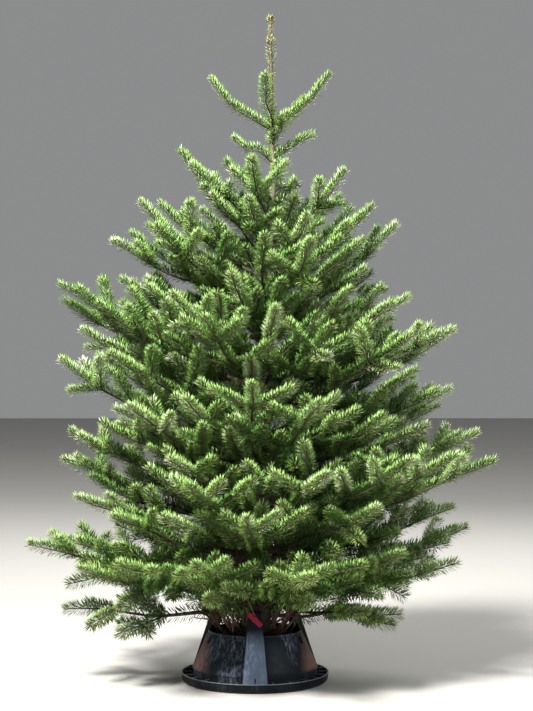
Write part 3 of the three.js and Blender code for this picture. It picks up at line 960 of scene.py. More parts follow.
# %% Tubes
def tube(points, radii, sides):
    """A closed tapering tube round a line of points, as corners and faces."""
    tangents = unit(np.gradient(points, axis=0))
    reference = UP if abs(tangents[0][2]) < 0.9 else np.array([1.0, 0, 0])
    over = unit(reference - (tangents @ reference)[:, None] * tangents)
    side = np.cross(tangents, over)
    angle = (np.arange(sides) * 2 * math.pi / sides)[None, :, None]
    ring = np.cos(angle) * over[:, None] + np.sin(angle) * side[:, None]
    radii = np.broadcast_to(np.asarray(radii).reshape(len(points), -1), (len(points), sides))
    corners = (points[:, None] + ring * radii[:, :, None]).reshape(-1, 3)
    faces = []
    for step in range(len(points) - 1):
        for k in range(sides):
            a, b = step * sides + k, step * sides + (k + 1) % sides
            faces += [(a, b, b + sides), (a, b + sides, a + sides)]
    last = (len(points) - 1) * sides
    faces += [(0, k + 1, k) for k in range(1, sides - 1)]
    faces += [(last, last + k, last + k + 1) for k in range(1, sides - 1)]
    return corners, np.array(faces)


def joined(parts):
    """Joins many corner and face arrays into one pair."""
    corners, faces, first = [], [], 0
    for part_corners, part_faces in parts:
        corners.append(part_corners)
        faces.append(part_faces + first)
        first += len(part_corners)
    return np.concatenate(corners), np.concatenate(faces)


# %% Twigs
TWIG_SIDES = 5

by_label = {}
for limb in limbs:
    points, radii = limb.points, limb.radii
    if limb.order:
        points, radii = points[::2], radii[::2]
    by_label.setdefault(boughs[limb.bough].mass.label, []).append(tube(points, radii, TWIG_SIDES))
total = 0
for label, tubes in by_label.items():
    corners, faces = joined(tubes)
    slots = np.zeros(len(faces))
    piece = mesh_from_arrays(f"twigs_{label}", corners, faces, slots, bark_materials[:1])
    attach(piece, "root")
    total += len(faces)
print("twigs:", total, "triangles")

# %% Main boughs
BOUGH_SIDES = 9
COLLAR = 0.55                           # how much a bough swells where it leaves the trunk
COLLAR_RUN = 0.014
UNEVEN = 0.07
BOUGH_STEPS = 12

tubes, slots = [], []
for points, radii in bare_limbs:
    gone = np.linalg.norm(points - points[0], axis=1)
    surface = trunk_radius_at(points[0, 2])
    smooth = np.linspace(0, gone[-1], BOUGH_STEPS)
    line = np.column_stack([np.interp(smooth, gone, points[:, i]) for i in range(3)])
    collar = 1 + COLLAR * np.exp(-np.maximum(smooth - surface, 0) / COLLAR_RUN)
    thick = np.interp(smooth, gone, radii) * collar
    wobble = 1 + UNEVEN * rng.normal(0, 1, (BOUGH_STEPS, BOUGH_SIDES))
    tubes.append(tube(line, thick[:, None] * wobble, BOUGH_SIDES))
    slots.append(np.full(len(tubes[-1][1]), int(rng.integers(0, 3))))
corners, faces = joined(tubes)
bough_piece = mesh_from_arrays("boughs", corners, faces, np.concatenate(slots), bark_materials[1:])
bough_piece.data.shade_smooth()
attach(bough_piece, "root")
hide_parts(*[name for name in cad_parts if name.startswith("bough_")])
print("boughs:", len(faces), "triangles")

# %% [markdown]
# ## Buds
# Every newest shoot ends in a blunt brown bud with two smaller ones beside it, which are next
# year's forks. There are some three thousand, so a bud is a spindle of only ten faces.

# %% A bud
BUD_SIZES = (       # length, radius, and how far aside each bud of a tip sits
    (0.0095, 0.0024, 0.0), (0.0070, 0.0018, 0.0030), (0.0070, 0.0018, -0.0030))
BUD_SIDES = 5
BUD_WIDEST = 0.4                        # share of its length at which a bud is widest
BUD_SUNK = 0.001                        # and how far its foot is sunk in the shoot
BUD_FORK = 160                          # how strongly a bud beside the tip points aside


def spindle(foot, way, side, length, radius):
    """A bud: a ring of corners between two points."""
    over = np.cross(side, way)
    angle = (np.arange(BUD_SIDES) * 2 * math.pi / BUD_SIDES)[:, None]
    ring = foot + way * length * BUD_WIDEST + radius * (np.cos(angle) * over + np.sin(angle) * side)
    corners = np.vstack([foot - way * BUD_SUNK, ring, foot + way * length])
    faces = []
    for k in range(BUD_SIDES):
        a, b = 1 + k, 1 + (k + 1) % BUD_SIDES
        faces += [(0, b, a), (BUD_SIDES + 1, a, b)]
    return corners, np.array(faces)


def buds_at(tip, ahead, scale=1.0):
    """The three buds of one tip."""
    side = unit(np.cross(ahead, UP + 0.01))
    for length, radius, aside in BUD_SIZES:
        way = unit(ahead + side * aside * BUD_FORK)
        across = unit(np.cross(np.cross(way, side), way) + 1e-6)
        yield spindle(tip + side * aside * scale, way, across, length * scale, radius * scale)


print("a bud is", BUD_SIZES[0][0] * 1000, "mm long")

# %% Buds at the tips
LEADER_BUDS = 5
LEADER_BUD_DEPTH = 0.010
LEADER_BUD_LEAN = 0.6
LEADER_BUD_SIZE = 1.1

bud_brown = barked("bud_brown", (0.135, 0.085, 0.038), 0.55, 240.0, 0.3, 0.0004)
bud_parts = []
for limb in limbs:
    bud_parts += buds_at(limb.points[-1], unit(limb.points[-1] - limb.points[-2]))
leader_tip = trunk_middle(cad_high[2] - LEADER_BUD_DEPTH)
for turn in range(LEADER_BUDS):
    lean = away_from(turn * GOLDEN) * LEADER_BUD_LEAN * (turn > 0) + UP
    bud_parts += buds_at(leader_tip, unit(lean), LEADER_BUD_SIZE)
corners, faces = joined(bud_parts)
buds = mesh_from_arrays("buds", corners, faces, np.zeros(len(faces)), [bud_brown])
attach(buds, "root")
print("buds:", len(faces), "triangles")

# %% [markdown]
# ## Dead boughs at the foot
# Below the green crown the lowest boughs have died in the shade. They are brown and bare, and bend
# out of the basin like the ribs of a basket, or droop as stubs from just above it. Both carry a
# tangle of thin dry twigs. They could be grown by the rule of the crown, but they have no years to
# tell apart, so each is one bent line. One that would cross the rim of the basin is bent up more,
# and one that would cross a leg is left out.

# %% Room between the rim and the legs
RIM_OUT, RIM_CLEAR = 0.120, 0.160       # where a limb nears the rim it has climbed above this
LEG_TURNS = [math.radians(turn) for turn in (-90, 30, 150)]
LEG_ROOM = math.radians(10)
LEG_IN, BASKET = 0.10, 0.19             # the legs' inner ends, and how far out a dry twig goes


def gap_to_leg(turns):
    """The angle from each direction to the nearest leg."""
    gaps = [np.abs((turns - leg + math.pi) % (2 * math.pi) - math.pi) for leg in LEG_TURNS]
    return np.min(gaps, axis=0)


def clear_of_legs(points):
    """Whether a dry twig stays within the basket and off the legs."""
    near_leg = gap_to_leg(np.arctan2(points[:, 1], points[:, 0])) < LEG_ROOM
    away = np.hypot(points[:, 0], points[:, 1])
    return away.max() < BASKET and not np.any(near_leg & (away > LEG_IN))


print("dry twigs keep", round(math.degrees(LEG_ROOM)), "degrees off the legs")

# %% Bare limbs above the basin
DEAD_COUNT = 150
DEAD_JITTER = 0.4
RIB_FOOT = (0.085, 0.125)               # a rib of the basket leaves the trunk between these heights
RIB_CLIMB = (0.05, 1.00)
RIB_LIFT = (6.5, 10.0)
STUB_FOOT = (0.150, 0.235)              # and a drooping stub between these
STUB_CLIMB = (0.25, 1.3)
STUB_LIFT = (-6.0, 1.0)
DEAD_LENGTH = (0.14, 0.25)
DEAD_STRETCHES = 4
DEAD_SWING, SWING_BEND = 0.110, 1.3     # how far a limb's end may swing sideways, and how late
DEAD_RADIUS = (0.0014, 0.0044)
DEAD_TAPER = 0.5
DEAD_SIDES = 7
DEAD_PALE = 0.3                         # share of the dead boughs in the paler brown
STEEPER_TRIES, STEEPER_STEP = 5, 1.8    # a limb too low at the rim is bent up more and more
DRY_TWIGS = 18
DRY_FROM = 4                            # the first point of a limb that may carry one
DRY_STRETCHES = 3
DRY_LENGTH = (0.02, 0.05)
DRY_LIFT = (-20, 18)
DRY_AHEAD, DRY_STRAY, DRY_UP = 0.6, 0.6, 0.5
DRY_RADIUS = (0.0015, 0.0007)

tubes, slots = [], []
for number in range(DEAD_COUNT):
    azimuth = number * GOLDEN + rng.uniform(-DEAD_JITTER, DEAD_JITTER)
    if gap_to_leg(azimuth) < LEG_ROOM:
        continue
    is_rib = number % 2 == 0
    foot = trunk_middle(rng.uniform(*(RIB_FOOT if is_rib else STUB_FOOT)))
    foot = foot + away_from(azimuth) * trunk_radius_at(foot[2]) * ROOTED
    heading = away_from(azimuth) + UP * rng.uniform(*(RIB_CLIMB if is_rib else STUB_CLIMB))
    lift = rng.uniform(*(RIB_LIFT if is_rib else STUB_LIFT))
    stretches = np.full(DEAD_STRETCHES, rng.uniform(*DEAD_LENGTH) / DEAD_STRETCHES)
    swing = away_from(azimuth + math.pi / 2) * DEAD_SWING * rng.uniform(-1, 1)
    for more in range(STEEPER_TRIES):
        points = line_from(foot, heading, stretches, lift + more * STEEPER_STEP)
        points = points + swing * np.linspace(0, 1, len(points))[:, None] ** SWING_BEND
        away = np.hypot(points[:, 0], points[:, 1])
        if np.interp(RIM_OUT, away, points[:, 2]) > RIM_CLEAR:
            break
    if points[-1, 2] < RIM_CLEAR or np.interp(RIM_OUT, away, points[:, 2]) < RIM_CLEAR:
        continue
    points = points[np.hypot(points[:, 0], points[:, 1]) < BASKET]
    thick = rng.uniform(*DEAD_RADIUS)
    tubes.append(tube(points, np.linspace(thick, thick * DEAD_TAPER, len(points)), DEAD_SIDES))
    slots.append(np.full(len(tubes[-1][1]), int(rng.random() < DEAD_PALE)))
    for _ in range(DRY_TWIGS):
        at = int(rng.integers(DRY_FROM, len(points)))
        ahead = unit(points[at] - points[at - 1])
        way = ahead * DRY_AHEAD + rng.normal(0, DRY_STRAY, 3) + UP * DRY_UP
        stretches = np.full(DRY_STRETCHES, rng.uniform(*DRY_LENGTH))
        twig = line_from(points[at], way, stretches, rng.uniform(*DRY_LIFT))
        if twig[:, 2].min() > RIM_CLEAR and clear_of_legs(twig):
            tubes.append(tube(twig, np.linspace(*DRY_RADIUS, len(twig)), TWIG_SIDES))
            slots.append(np.zeros(len(tubes[-1][1])))
print(len(tubes), "dead limbs and dry twigs")

# %% The dead boughs as one piece
# the dark brown is darker than the dry bark itself, as painted shade under the crown; the pale one
# is the bark's own colour
DEAD_TONES = {"dead_bark_dark_shaded": (0.050, 0.026, 0.014), "dead_bark_pale": (0.120, 0.072, 0.034)}

dead_tones = [barked(name, colour, 0.8, 110.0, 0.5, 0.0008)
              for name, colour in DEAD_TONES.items()]
corners, faces = joined(tubes)
dead_boughs = mesh_from_arrays("dead_boughs", corners, faces, np.concatenate(slots), dead_tones)
dead_boughs.data.shade_smooth()
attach(dead_boughs, "root")
print("dead boughs:", len(faces), "triangles")

# %% [markdown]
# ## Bench tools
# What is turned, cut or moulded is modelled with the edit-mode tools: a primitive is added, opened
# in edit mode, and its parts are picked by where they lie or which way they face. Every operator
# works on all that is selected, so each step starts from an empty selection.

# %% Take up, open and pick
ORIGIN = (0, 0, 0)


def take_up(*pieces):
    """Selects these pieces only; the last one is the active one."""
    bpy.ops.object.select_all(action="DESELECT")
    for piece in pieces:
        piece.select_set(True)
        bpy.context.view_layer.objects.active = piece


def open_piece(piece, action="DESELECT"):
    """Puts one piece in edit mode with nothing selected, or all of it."""
    take_up(piece)
    bpy.ops.object.mode_set(mode="EDIT")
    bpy.ops.mesh.select_all(action=action)


def add_block(name, place, size, turn=0.0):
    """A box of a size at a place, turned about the upright."""
    take_up()
    bpy.ops.mesh.primitive_cube_add(size=1, location=place, rotation=(0, 0, turn))
    block = bpy.context.object
    block.name = name
    block.scale = size
    bpy.ops.object.transform_apply(location=True, rotation=True, scale=True)
    return block


def pick(kind, test):
    """Selects the VERT, EDGE or FACE parts of the open piece that pass a test of place and way."""
    bpy.ops.mesh.select_mode(type=kind)
    bpy.ops.mesh.select_all(action="DESELECT")
    grid = bmesh.from_edit_mesh(bpy.context.object.data)
    grid.normal_update()
    if kind == "FACE":
        parts = [(face, face.calc_center_median(), face.normal) for face in grid.faces]
    elif kind == "EDGE":
        parts = [(edge, (edge.verts[0].co + edge.verts[1].co) / 2,
                  (edge.verts[1].co - edge.verts[0].co).normalized()) for edge in grid.edges]
    else:
        parts = [(vertex, vertex.co, vertex.normal) for vertex in grid.verts]
    for part, place, way in parts:
        if test(place, way):
            part.select_set(True)
    grid.select_flush_mode()
    bmesh.update_edit_mesh(bpy.context.object.data)


print("ways to pick: VERT, EDGE, FACE")

# %% Modify, cut and close
DOUBLES = 0.00001


def add_modifier(piece, kind, **settings):
    """Adds a modifier with its settings and applies it."""
    modifier = piece.modifiers.new(kind.lower(), kind)
    for name, value in settings.items():
        setattr(modifier, name, value)
    take_up(piece)
    bpy.ops.object.modifier_apply(modifier=modifier.name)


def cut_with(piece, cutter):
    """Cuts the space of one piece out of another, and throws the cutter away."""
    add_modifier(piece, "BOOLEAN", operation="DIFFERENCE", object=cutter, solver="EXACT")
    bpy.data.objects.remove(cutter)


def close_piece(smooth):
    """Leaves edit mode with faces pointing outwards, smooth up to an angle in degrees."""
    bpy.ops.mesh.select_all(action="SELECT")
    bpy.ops.mesh.remove_doubles(threshold=DOUBLES)
    bpy.ops.mesh.normals_make_consistent(inside=False)
    bpy.ops.object.mode_set(mode="OBJECT")
    bpy.ops.object.transform_apply(location=True, rotation=True, scale=True)
    bpy.ops.object.shade_smooth_by_angle(angle=math.radians(smooth))


print("corners closer than", DOUBLES, "m are merged")

# %% Pull round and hand over
def pull_round(name, profile, sides, middle=lambda z: (0.0, 0.0)):
    """Pulls a ring of corners up a profile of (radius, height) pairs, as a potter pulls clay."""
    radius, z = profile[0]
    x, y = middle(z)
    take_up()
    bpy.ops.mesh.primitive_circle_add(vertices=sides, radius=radius, location=(x, y, z))
    piece = bpy.context.object
    piece.name = name
    bpy.ops.object.transform_apply(location=True)
    bpy.ops.object.mode_set(mode="EDIT")
    bpy.ops.mesh.select_all(action="SELECT")
    for next_radius, next_z in profile[1:]:
        next_x, next_y = middle(next_z)
        step = (next_x - x, next_y - y, next_z - z)
        bpy.ops.mesh.extrude_region_move(TRANSFORM_OT_translate={"value": step})
        share = next_radius / radius
        bpy.ops.transform.resize(value=(share, share, 1), center_override=(next_x, next_y, next_z))
        radius, z, x, y = next_radius, next_z, next_x, next_y
    return piece


def close_ends(test):
    """Fills the ring just pulled, then the other end's, picked by a test of its edges."""
    bpy.ops.mesh.edge_face_add()
    pick("EDGE", test)
    bpy.ops.mesh.edge_face_add()


def hand_over(piece, material, slot, *replaced):
    """Gives a finished piece its material and its body, and hides the parts it replaces; the slot is
    not used.
    """
    piece.data.materials.clear()
    piece.data.materials.append(material)
    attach(piece, "root")
    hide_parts(*replaced)
    print(piece.name, len(piece.data.polygons), "faces")


# %% [markdown]
# ## The trunk
# The trunk is one leaning stem from a flat saw cut to the tip of the leader. It could be a cone, but
# a real one swells at every whorl where the boughs leave it, so a ring is pulled up it step by step.
# Two Displace modifiers then raise the broad lumps of the wood and the small resin blisters. They
# act through a vertex group, so that the thin leader stays smooth and the cut stays flat.

# %% Pull up the trunk
TRUNK_SIDES = 28
TRUNK_STEP = 0.014
WHORL_SWELL = 0.10
WHORL_RUN = 0.016

whorls = sorted({round(float(mass.hub[2]), 3) for mass in masses})
heights = np.append(np.arange(trunk_z[0], trunk_z[-1], TRUNK_STEP), trunk_z[-1])


def swollen_radius(z):
    near = min(abs(z - whorl) for whorl in whorls)
    return trunk_radius_at(z) * (1 + WHORL_SWELL * math.exp(-(near / WHORL_RUN) ** 2))


trunk_profile = [(swollen_radius(z), float(z)) for z in heights]
trunk = pull_round("trunk_bark", trunk_profile, TRUNK_SIDES, lambda z: tuple(trunk_middle(z)[:2]))
close_ends(lambda place, way: place.z < heights[0] + 0.001 and abs(way.z) < 0.5)
close_piece(60)
print("trunk", len(heights), "rings,", len(whorls), "whorls")

# %% Raise the bark
LUMPS = ("lumps", "CLOUDS", 0.045, 0.0045)      # name, kind, size and rise
BLISTERS = ("blisters", "STUCCI", 0.007, 0.0016)
THIN_FADES = 1.2                        # how fast the relief fades as the stem gets thin
CUT_CLEAR = 0.002                       # none so close to the saw cut

add_modifier(trunk, "SUBSURF", subdivision_type="SIMPLE", levels=1, render_levels=1)
thick = trunk.vertex_groups.new(name="thick")
for vertex in trunk.data.vertices:
    share = min(1.0, trunk_radius_at(vertex.co.z) / trunk_radius[0]) ** THIN_FADES
    thick.add([vertex.index], share if vertex.co.z > heights[0] + CUT_CLEAR else 0.0, "REPLACE")
for name, kind, size, rise in (LUMPS, BLISTERS):
    texture = bpy.data.textures.new(name, kind)
    texture.noise_scale = size
    add_modifier(trunk, "DISPLACE", texture=texture, strength=rise, mid_level=0.5,
                 texture_coords="LOCAL", vertex_group="thick")
print("strength of the relief:", LUMPS[-1], BLISTERS[-1])

# %% [markdown]
# ## The colour of the trunk
# The butt is brown-grey, the middle grey-green, and the leader olive and then brown again. Painting
# that by hand would need a texture, but colour here only depends on height: two colour ramps, one
# for the bark and one for its patches, read the height and feed the bark group.

# %% Bark by height
TRUNK_TONES = (     # share of the tree's height, bark and patches there
    (0.00, (0.060, 0.046, 0.034, 1), (0.095, 0.078, 0.058, 1)),
    (0.55, (0.085, 0.078, 0.052, 1), (0.125, 0.120, 0.080, 1)),
    (0.74, (0.170, 0.175, 0.105, 1), (0.260, 0.270, 0.190, 1)),
    (0.83, (0.120, 0.105, 0.045, 1), (0.200, 0.180, 0.085, 1)),
    (0.88, (0.075, 0.050, 0.020, 1), (0.110, 0.078, 0.030, 1)),
)
trunk_skin = plain_material("trunk_skin", TRUNK_TONES[0][1][:3], 0.7)
grain = place_group(trunk_skin, bark_grain, {"Scale": 55.0, "Crack Share": 0.55}, 0.0016)
tree = trunk_skin.node_tree
height = shader_node(tree, "ShaderNodeSeparateXYZ", {
    0: shader_node(tree, "ShaderNodeTexCoord").outputs["Object"]}).outputs["Z"]
share = sum_of(tree, height, float(cad_high[2]), "DIVIDE")
for column, name in ((1, "Bark"), (2, "Patch")):
    ramp = shader_node(tree, "ShaderNodeValToRGB", {"Fac": share})
    stops = ramp.color_ramp.elements
    stops[0].position, stops[0].color = TRUNK_TONES[0][0], TRUNK_TONES[0][column]
    stops[1].position, stops[1].color = TRUNK_TONES[-1][0], TRUNK_TONES[-1][column]
    for row in TRUNK_TONES[1:-1]:
        stops.new(row[0]).color = row[column]
    tree.links.new(ramp.outputs["Color"], grain.inputs[name])
tree.links.new(grain.outputs["Color"], tree.nodes["Principled BSDF"].inputs["Base Color"])
hand_over(trunk, trunk_skin, "bark", "trunk")

# %% [markdown]
# ## Moulded plastic
# The stand is black polypropylene, moulded, satin, and it has been about: it has pale upright
# scuffs, partly real wear and partly painted highlight streaks, rows of fine marks where stands were
# stacked and dust near the ground. Light is painted on it too: a bluish painted sheen on the front
# leg, painted shade towards that leg's top, a painted highlight along the tray's rim and a painted
# brown reflection low on the basin's flanks. A picture of wear would do, but it would fit one piece
# only. One node group makes each mark from noise and from the place on the stand, and each plastic
# sets how much of every mark it shows.

# %% The wear group
ROW_SCALE = 57.0                        # sets the rows that stacked stands have rubbed 5 mm apart
FLANK = (0.126, 0.158)                  # a painted brown reflection on the flanks starts and is full this far to a side
FLANK_FOOT = (0.040, 0.050)             # and above these heights
RIM_HIGHLIGHT = (-0.0022, -0.0006)          # a painted highlight lies along an edge between these heights from its top
SHADE_FADE = (0.72, 0.97)               # marks fade out between these shares of this height, as painted shade above


def wear_and_light_group():
    group, given = new_group("moulded_wear_and_light", {
        "Plastic": (0.02, 0.022, 0.026, 1), "Scuff And Highlight": (0.20, 0.23, 0.28, 1),
        "Dust": (0.16, 0.13, 0.10, 1), "Scuff Share": 0.5, "Bloom": 0.0, "Rows": 0.0,
        "Clean Above": 1.0, "Edge Height": 1.0, "Dust Height": 0.07, "Flank Dust": 0.0})
    place = shader_node(group, "ShaderNodeVectorMath", {0: given["Place"], 1: (-1, 1, 1)},
                        operation="MULTIPLY").outputs[0]
    streaks = noise(group, stretched(group, place, (1, 1, 0.09), 150.0), 1.0, 4)
    broad = noise(group, stretched(group, place, (1, 1, 0.35), 15.0), 1.0, 2)
    specks = noise(group, stretched(group, place, (1, 1, 1), 420.0), 1.0, 2)
    marks = times(group, between(group, streaks, 0.44, 0.72), between(group, broad, 0.47, 0.64))
    apart = shader_node(group, "ShaderNodeSeparateXYZ", {0: place})
    z = apart.outputs["Z"]
    wave = shader_node(group, "ShaderNodeTexWave", {
        "Vector": place, "Scale": ROW_SCALE, "Distortion": 7.0, "Detail": 2.0, "Detail Scale": 6.0,
    }, wave_type="BANDS", bands_direction="Z")
    rows = times(group, between(group, wave.outputs["Fac"], 0.55, 0.95), marks)
    # painted sheen: a bluish film that stands in for the sky's reflection
    sheen_film = times(group, given["Bloom"], between(group, broad, 0.3, 0.7, 0.7, 1.0))
    # pale scuffs and stacking rows, partly real wear and partly painted highlight streaks
    scuffs_and_highlights = sum_of(group, times(group, marks, given["Scuff Share"]),
                    times(group, rows, given["Rows"]))
    # painted shade: the marks fade out towards the top of the front leg, under the crown
    upness = sum_of(group, z, given["Clean Above"], "DIVIDE")
    fade = between(group, upness, *SHADE_FADE, 1.0, 0.03)
    wear_and_light = times(group, sum_of(group, scuffs_and_highlights, sheen_film), fade)
    # painted highlight: a speckled pale line just below the top of the tray's rim
    below_edge = sum_of(group, z, given["Edge Height"], "SUBTRACT")
    edge = between(group, below_edge, *RIM_HIGHLIGHT, 0.0, 0.9)
    pale = sum_of(group, wear_and_light, times(group, edge, between(group, specks, 0.2, 0.5)))
    low = between(group, sum_of(group, z, given["Dust Height"], "DIVIDE"), 0.0, 1.0, 0.75, 0.0)
    # painted reflection: brown on the basin's left and right flanks, added to the dust near the
    # ground
    aside = sum_of(group, apart.outputs["X"], 0.0, "ABSOLUTE")
    flank = times(group, between(group, aside, *FLANK), between(group, z, *FLANK_FOOT))
    flank = times(group, times(group, flank, given["Flank Dust"]),
                  between(group, streaks, 0.30, 0.60, 0.5, 1.0))
    dust_and_reflection = sum_of(group, times(group, low, between(group, specks, 0.40, 0.68)), flank)
    scuffed_and_lit = mixed(group, between(group, pale, 0.0, 1.0), given["Plastic"], given["Scuff And Highlight"])
    shader_node(group, "NodeGroupOutput", {
        "Color": mixed(group, dust_and_reflection, scuffed_and_lit, given["Dust"]),
        "Roughness": sum_of(group, between(group, streaks, 0.3, 0.8, 0.36, 0.62),
                            times(group, dust_and_reflection, 0.3)),
        "Height": sum_of(group, times(group, specks, 0.3), scuffs_and_highlights, "SUBTRACT"),
    })
    return group


moulded_wear_and_light = wear_and_light_group()
print("wear group takes", [item.name for item in moulded_wear_and_light.interface.items_tree][3:])

# %% The five plastics
PLASTIC_ROUGHNESS = 0.4
PLASTIC_GLOSS = 0.10
SCUFF_DEPTH = 0.0003
PLASTICS = {        # the plastic, its scuffs and painted highlight, and what else differs from the group's own values
    # the basin's dust colour also paints the brown reflection on its flanks, and its bluish scuffs
    # are partly painted highlight streaks
    "basin_black": ((0.0050, 0.0072, 0.0095), (0.15, 0.185, 0.25), {
        "Scuff Share": 0.70, "Rows": 0.30, "Bloom": 0.03, "Flank Dust": 0.80,
        "Dust": (0.215, 0.112, 0.082, 1), "Dust Height": 0.03}),
    # the front leg has a bluish painted sheen; the back legs are a plain copy painted as if shaded
    "leg_black_sheen": ((0.0060, 0.0075, 0.0080), (0.215, 0.28, 0.41), {
        "Scuff Share": 0.75, "Bloom": 0.50, "Clean Above": 0.172, "Dust Height": 0.02}),
    "leg_plain_shaded": ((0.0060, 0.0075, 0.0080), (0.16, 0.20, 0.24), {
        "Scuff Share": 0.45, "Bloom": 0.02, "Dust Height": 0.02}),
    "tray_black": ((0.0040, 0.0060, 0.0080), (0.16, 0.18, 0.21), {
        "Scuff Share": 0.20, "Edge Height": float(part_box("stand_tray")[1][2]),
        "Dust Height": 0.006}),
    "screw_red": ((0.200, 0.009, 0.028), (0.30, 0.09, 0.10), {
        "Scuff Share": 0.15, "Dust Height": 0.02}),
}
plastics = {}
for name, (colour, scuff_and_highlight, values) in PLASTICS.items():
    material = plain_material(name, colour, PLASTIC_ROUGHNESS)
    shader = material.node_tree.nodes["Principled BSDF"]
    shader.inputs["Specular IOR Level"].default_value = PLASTIC_GLOSS
    wear_and_light = place_group(material, moulded_wear_and_light, {
        "Plastic": (*colour, 1), "Scuff And Highlight": (*scuff_and_highlight, 1), **values}, SCUFF_DEPTH)
    material.node_tree.links.new(wear_and_light.outputs["Color"], shader.inputs["Base Color"])
    plastics[name] = material
print("plastics:", *plastics)

# %% [markdown]
# ## The tray
# The tray is a shallow dish that catches spilt water and keeps the stand steady. Its wall is one
# ring pulled out and up from the foot, over the rim and down again to the floor. A lathe would do
# the same; a list of rings is easier to change. Short fins across the gutter stiffen it: one is
# modelled as a thin bevelled block, and copied round in edit mode.

# %% Mould the tray
TRAY_SIDES = 96
TRAY_FOOT = 0.020                       # the underside starts this far in from the rim
TRAY_FLOOR = 0.005
FLOOR_RINGS = (0.190, 0.120, 0.060)

tray_low, tray_high = (np.array(corner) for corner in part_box("stand_tray"))
tray_radius = float(tray_high[0] - tray_low[0]) / 2
rim_top = float(tray_high[2])
TRAY_WALL = (       # how far in from the rim, and how high
    (TRAY_FOOT, 0.0015), (0.016, 0.0), (0.010, 0.0008), (0.0045, 0.005), (0.0020, 0.0100),
    (0.0015, rim_top - 0.004), (0, rim_top - 0.003), (0, rim_top - 0.0008), (0.001, rim_top),
    (0.0035, rim_top), (0.0045, rim_top - 0.001), (0.0060, TRAY_FLOOR + 0.004),
    (0.0095, TRAY_FLOOR),
)
profile = [(tray_radius - inward, height) for inward, height in TRAY_WALL]
profile += [(radius, TRAY_FLOOR) for radius in FLOOR_RINGS]
tray = pull_round("tray", profile, TRAY_SIDES)
foot_ring = tray_radius - TRAY_FOOT
close_ends(lambda place, way: abs(place.xy.length - foot_ring) < 0.0008 and place.z < 0.002)
close_piece(40)
print("tray", round(2 * tray_radius, 3), "m across,", round(rim_top, 3), "m high")

# %% Fins across the gutter
TRAY_FINS = 24
FIN_SIZE = (0.0026, 0.026, 0.0215)
FIN_INSET = 0.0185                      # from the tray's edge to the middle of a fin
FIN_BEVEL = 0.0005

fin_place = (0, FIN_INSET - tray_radius, TRAY_FLOOR + FIN_SIZE[2] / 2)
fins = add_block("tray_fins", fin_place, FIN_SIZE)
open_piece(fins, "SELECT")
bpy.ops.mesh.bevel(offset=FIN_BEVEL, segments=1)
bpy.ops.mesh.select_all(action="SELECT")
for _ in range(TRAY_FINS - 1):
    bpy.ops.mesh.duplicate()
    bpy.ops.transform.rotate(value=2 * math.pi / TRAY_FINS, orient_axis="Z",
                             center_override=ORIGIN)
close_piece(30)
take_up(fins, tray)
bpy.ops.object.join()
hand_over(tray, plastics["tray_black"], "stand_plastic", "stand_tray")

# %% [markdown]
# ## The basin
# The basin is a cone that narrows upwards, so that it can't tip over while it holds water. Its wall
# is pulled up on the outside, over a rolled rim and down on the inside, and the two ends are
# bridged. Small upright slots below the rim show the water level. They could be pushed in as
# shallow pockets, but a real slot is open, so a thin block is cut right through the wall for each.

# %% Mould the basin
BASIN_SIDES = 108
BASIN_TOP_RADIUS = 0.134
SHOULDER = 0.044                        # the cone stands on an upright band of this height
BAND_INSET, CONE_INSET = 0.003, 0.002   # from the widest radius to the band and to the cone
WALL = 0.004
SLOT_FOOT, SLOT_TOP = 0.115, 0.133
CONE_HEIGHTS = (0.050, 0.080, SLOT_FOOT, SLOT_TOP)
SHOULDER_RINGS = ((BAND_INSET, -0.005), (0.0, -0.004), (0.0, -0.0015), (0.0015, 0.0))
LIP_RINGS = (
    (0.001, -0.0055), (0.0, -0.0045), (0.0, -0.0015), (0.001, 0.0), (0.0035, 0.0), (0.005, -0.0015))

basin_low, basin_high = (np.array(corner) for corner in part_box("stand_basin"))
foot_radius = float(basin_high[0] - basin_low[0]) / 2
basin_foot, basin_top = float(basin_low[2]), float(basin_high[2])


def cone_radius(z):
    ends = (foot_radius - CONE_INSET, BASIN_TOP_RADIUS - CONE_INSET)
    return float(np.interp(z, (SHOULDER, basin_top), ends))


profile = [(foot_radius - BAND_INSET, basin_foot)]
profile += [(foot_radius - inset, SHOULDER + z) for inset, z in SHOULDER_RINGS]
profile += [(cone_radius(z), z) for z in CONE_HEIGHTS]
profile += [(BASIN_TOP_RADIUS - inset, basin_top + z) for inset, z in LIP_RINGS]
profile += [(cone_radius(z) - WALL, z) for z in (SLOT_TOP, CONE_HEIGHTS[0])]
profile += [(foot_radius - BAND_INSET - WALL, basin_foot)]
basin = pull_round("basin", profile, BASIN_SIDES)
pick("EDGE", lambda place, way: place.z < basin_foot + 0.0005 and abs(way.z) < 0.5)
bpy.ops.mesh.bridge_edge_loops()
close_piece(40)
print("basin", round(basin_top - basin_foot, 3), "m high")

# %% Cut the slots
SLOT_TURNS = (-156.5, -23.5, 90.0)      # the middle of each slot, in degrees from +X
SLOT_SIZE = (0.040, 0.016, SLOT_TOP - SLOT_FOOT)

slot_height = (SLOT_FOOT + SLOT_TOP) / 2
for turn in map(math.radians, SLOT_TURNS):
    place = away_from(turn) * cone_radius(slot_height) + UP * slot_height
    cut_with(basin, add_block("slot_cutter", tuple(place), SLOT_SIZE, turn))
hand_over(basin, plastics["basin_black"], "stand_plastic", "stand_basin")

# %% [markdown]
# ## The legs
# Three struts stand in the tray and lean in against the basin. Each is a channel: a flat face with
# a wall down each side, hollow behind. One is modelled at the front from a block: its top is drawn
# in, the back is inset and pushed forwards, a small drain slit is cut at the foot, and the edges
# are rounded. The other two are copies, turned about the middle of the stand.

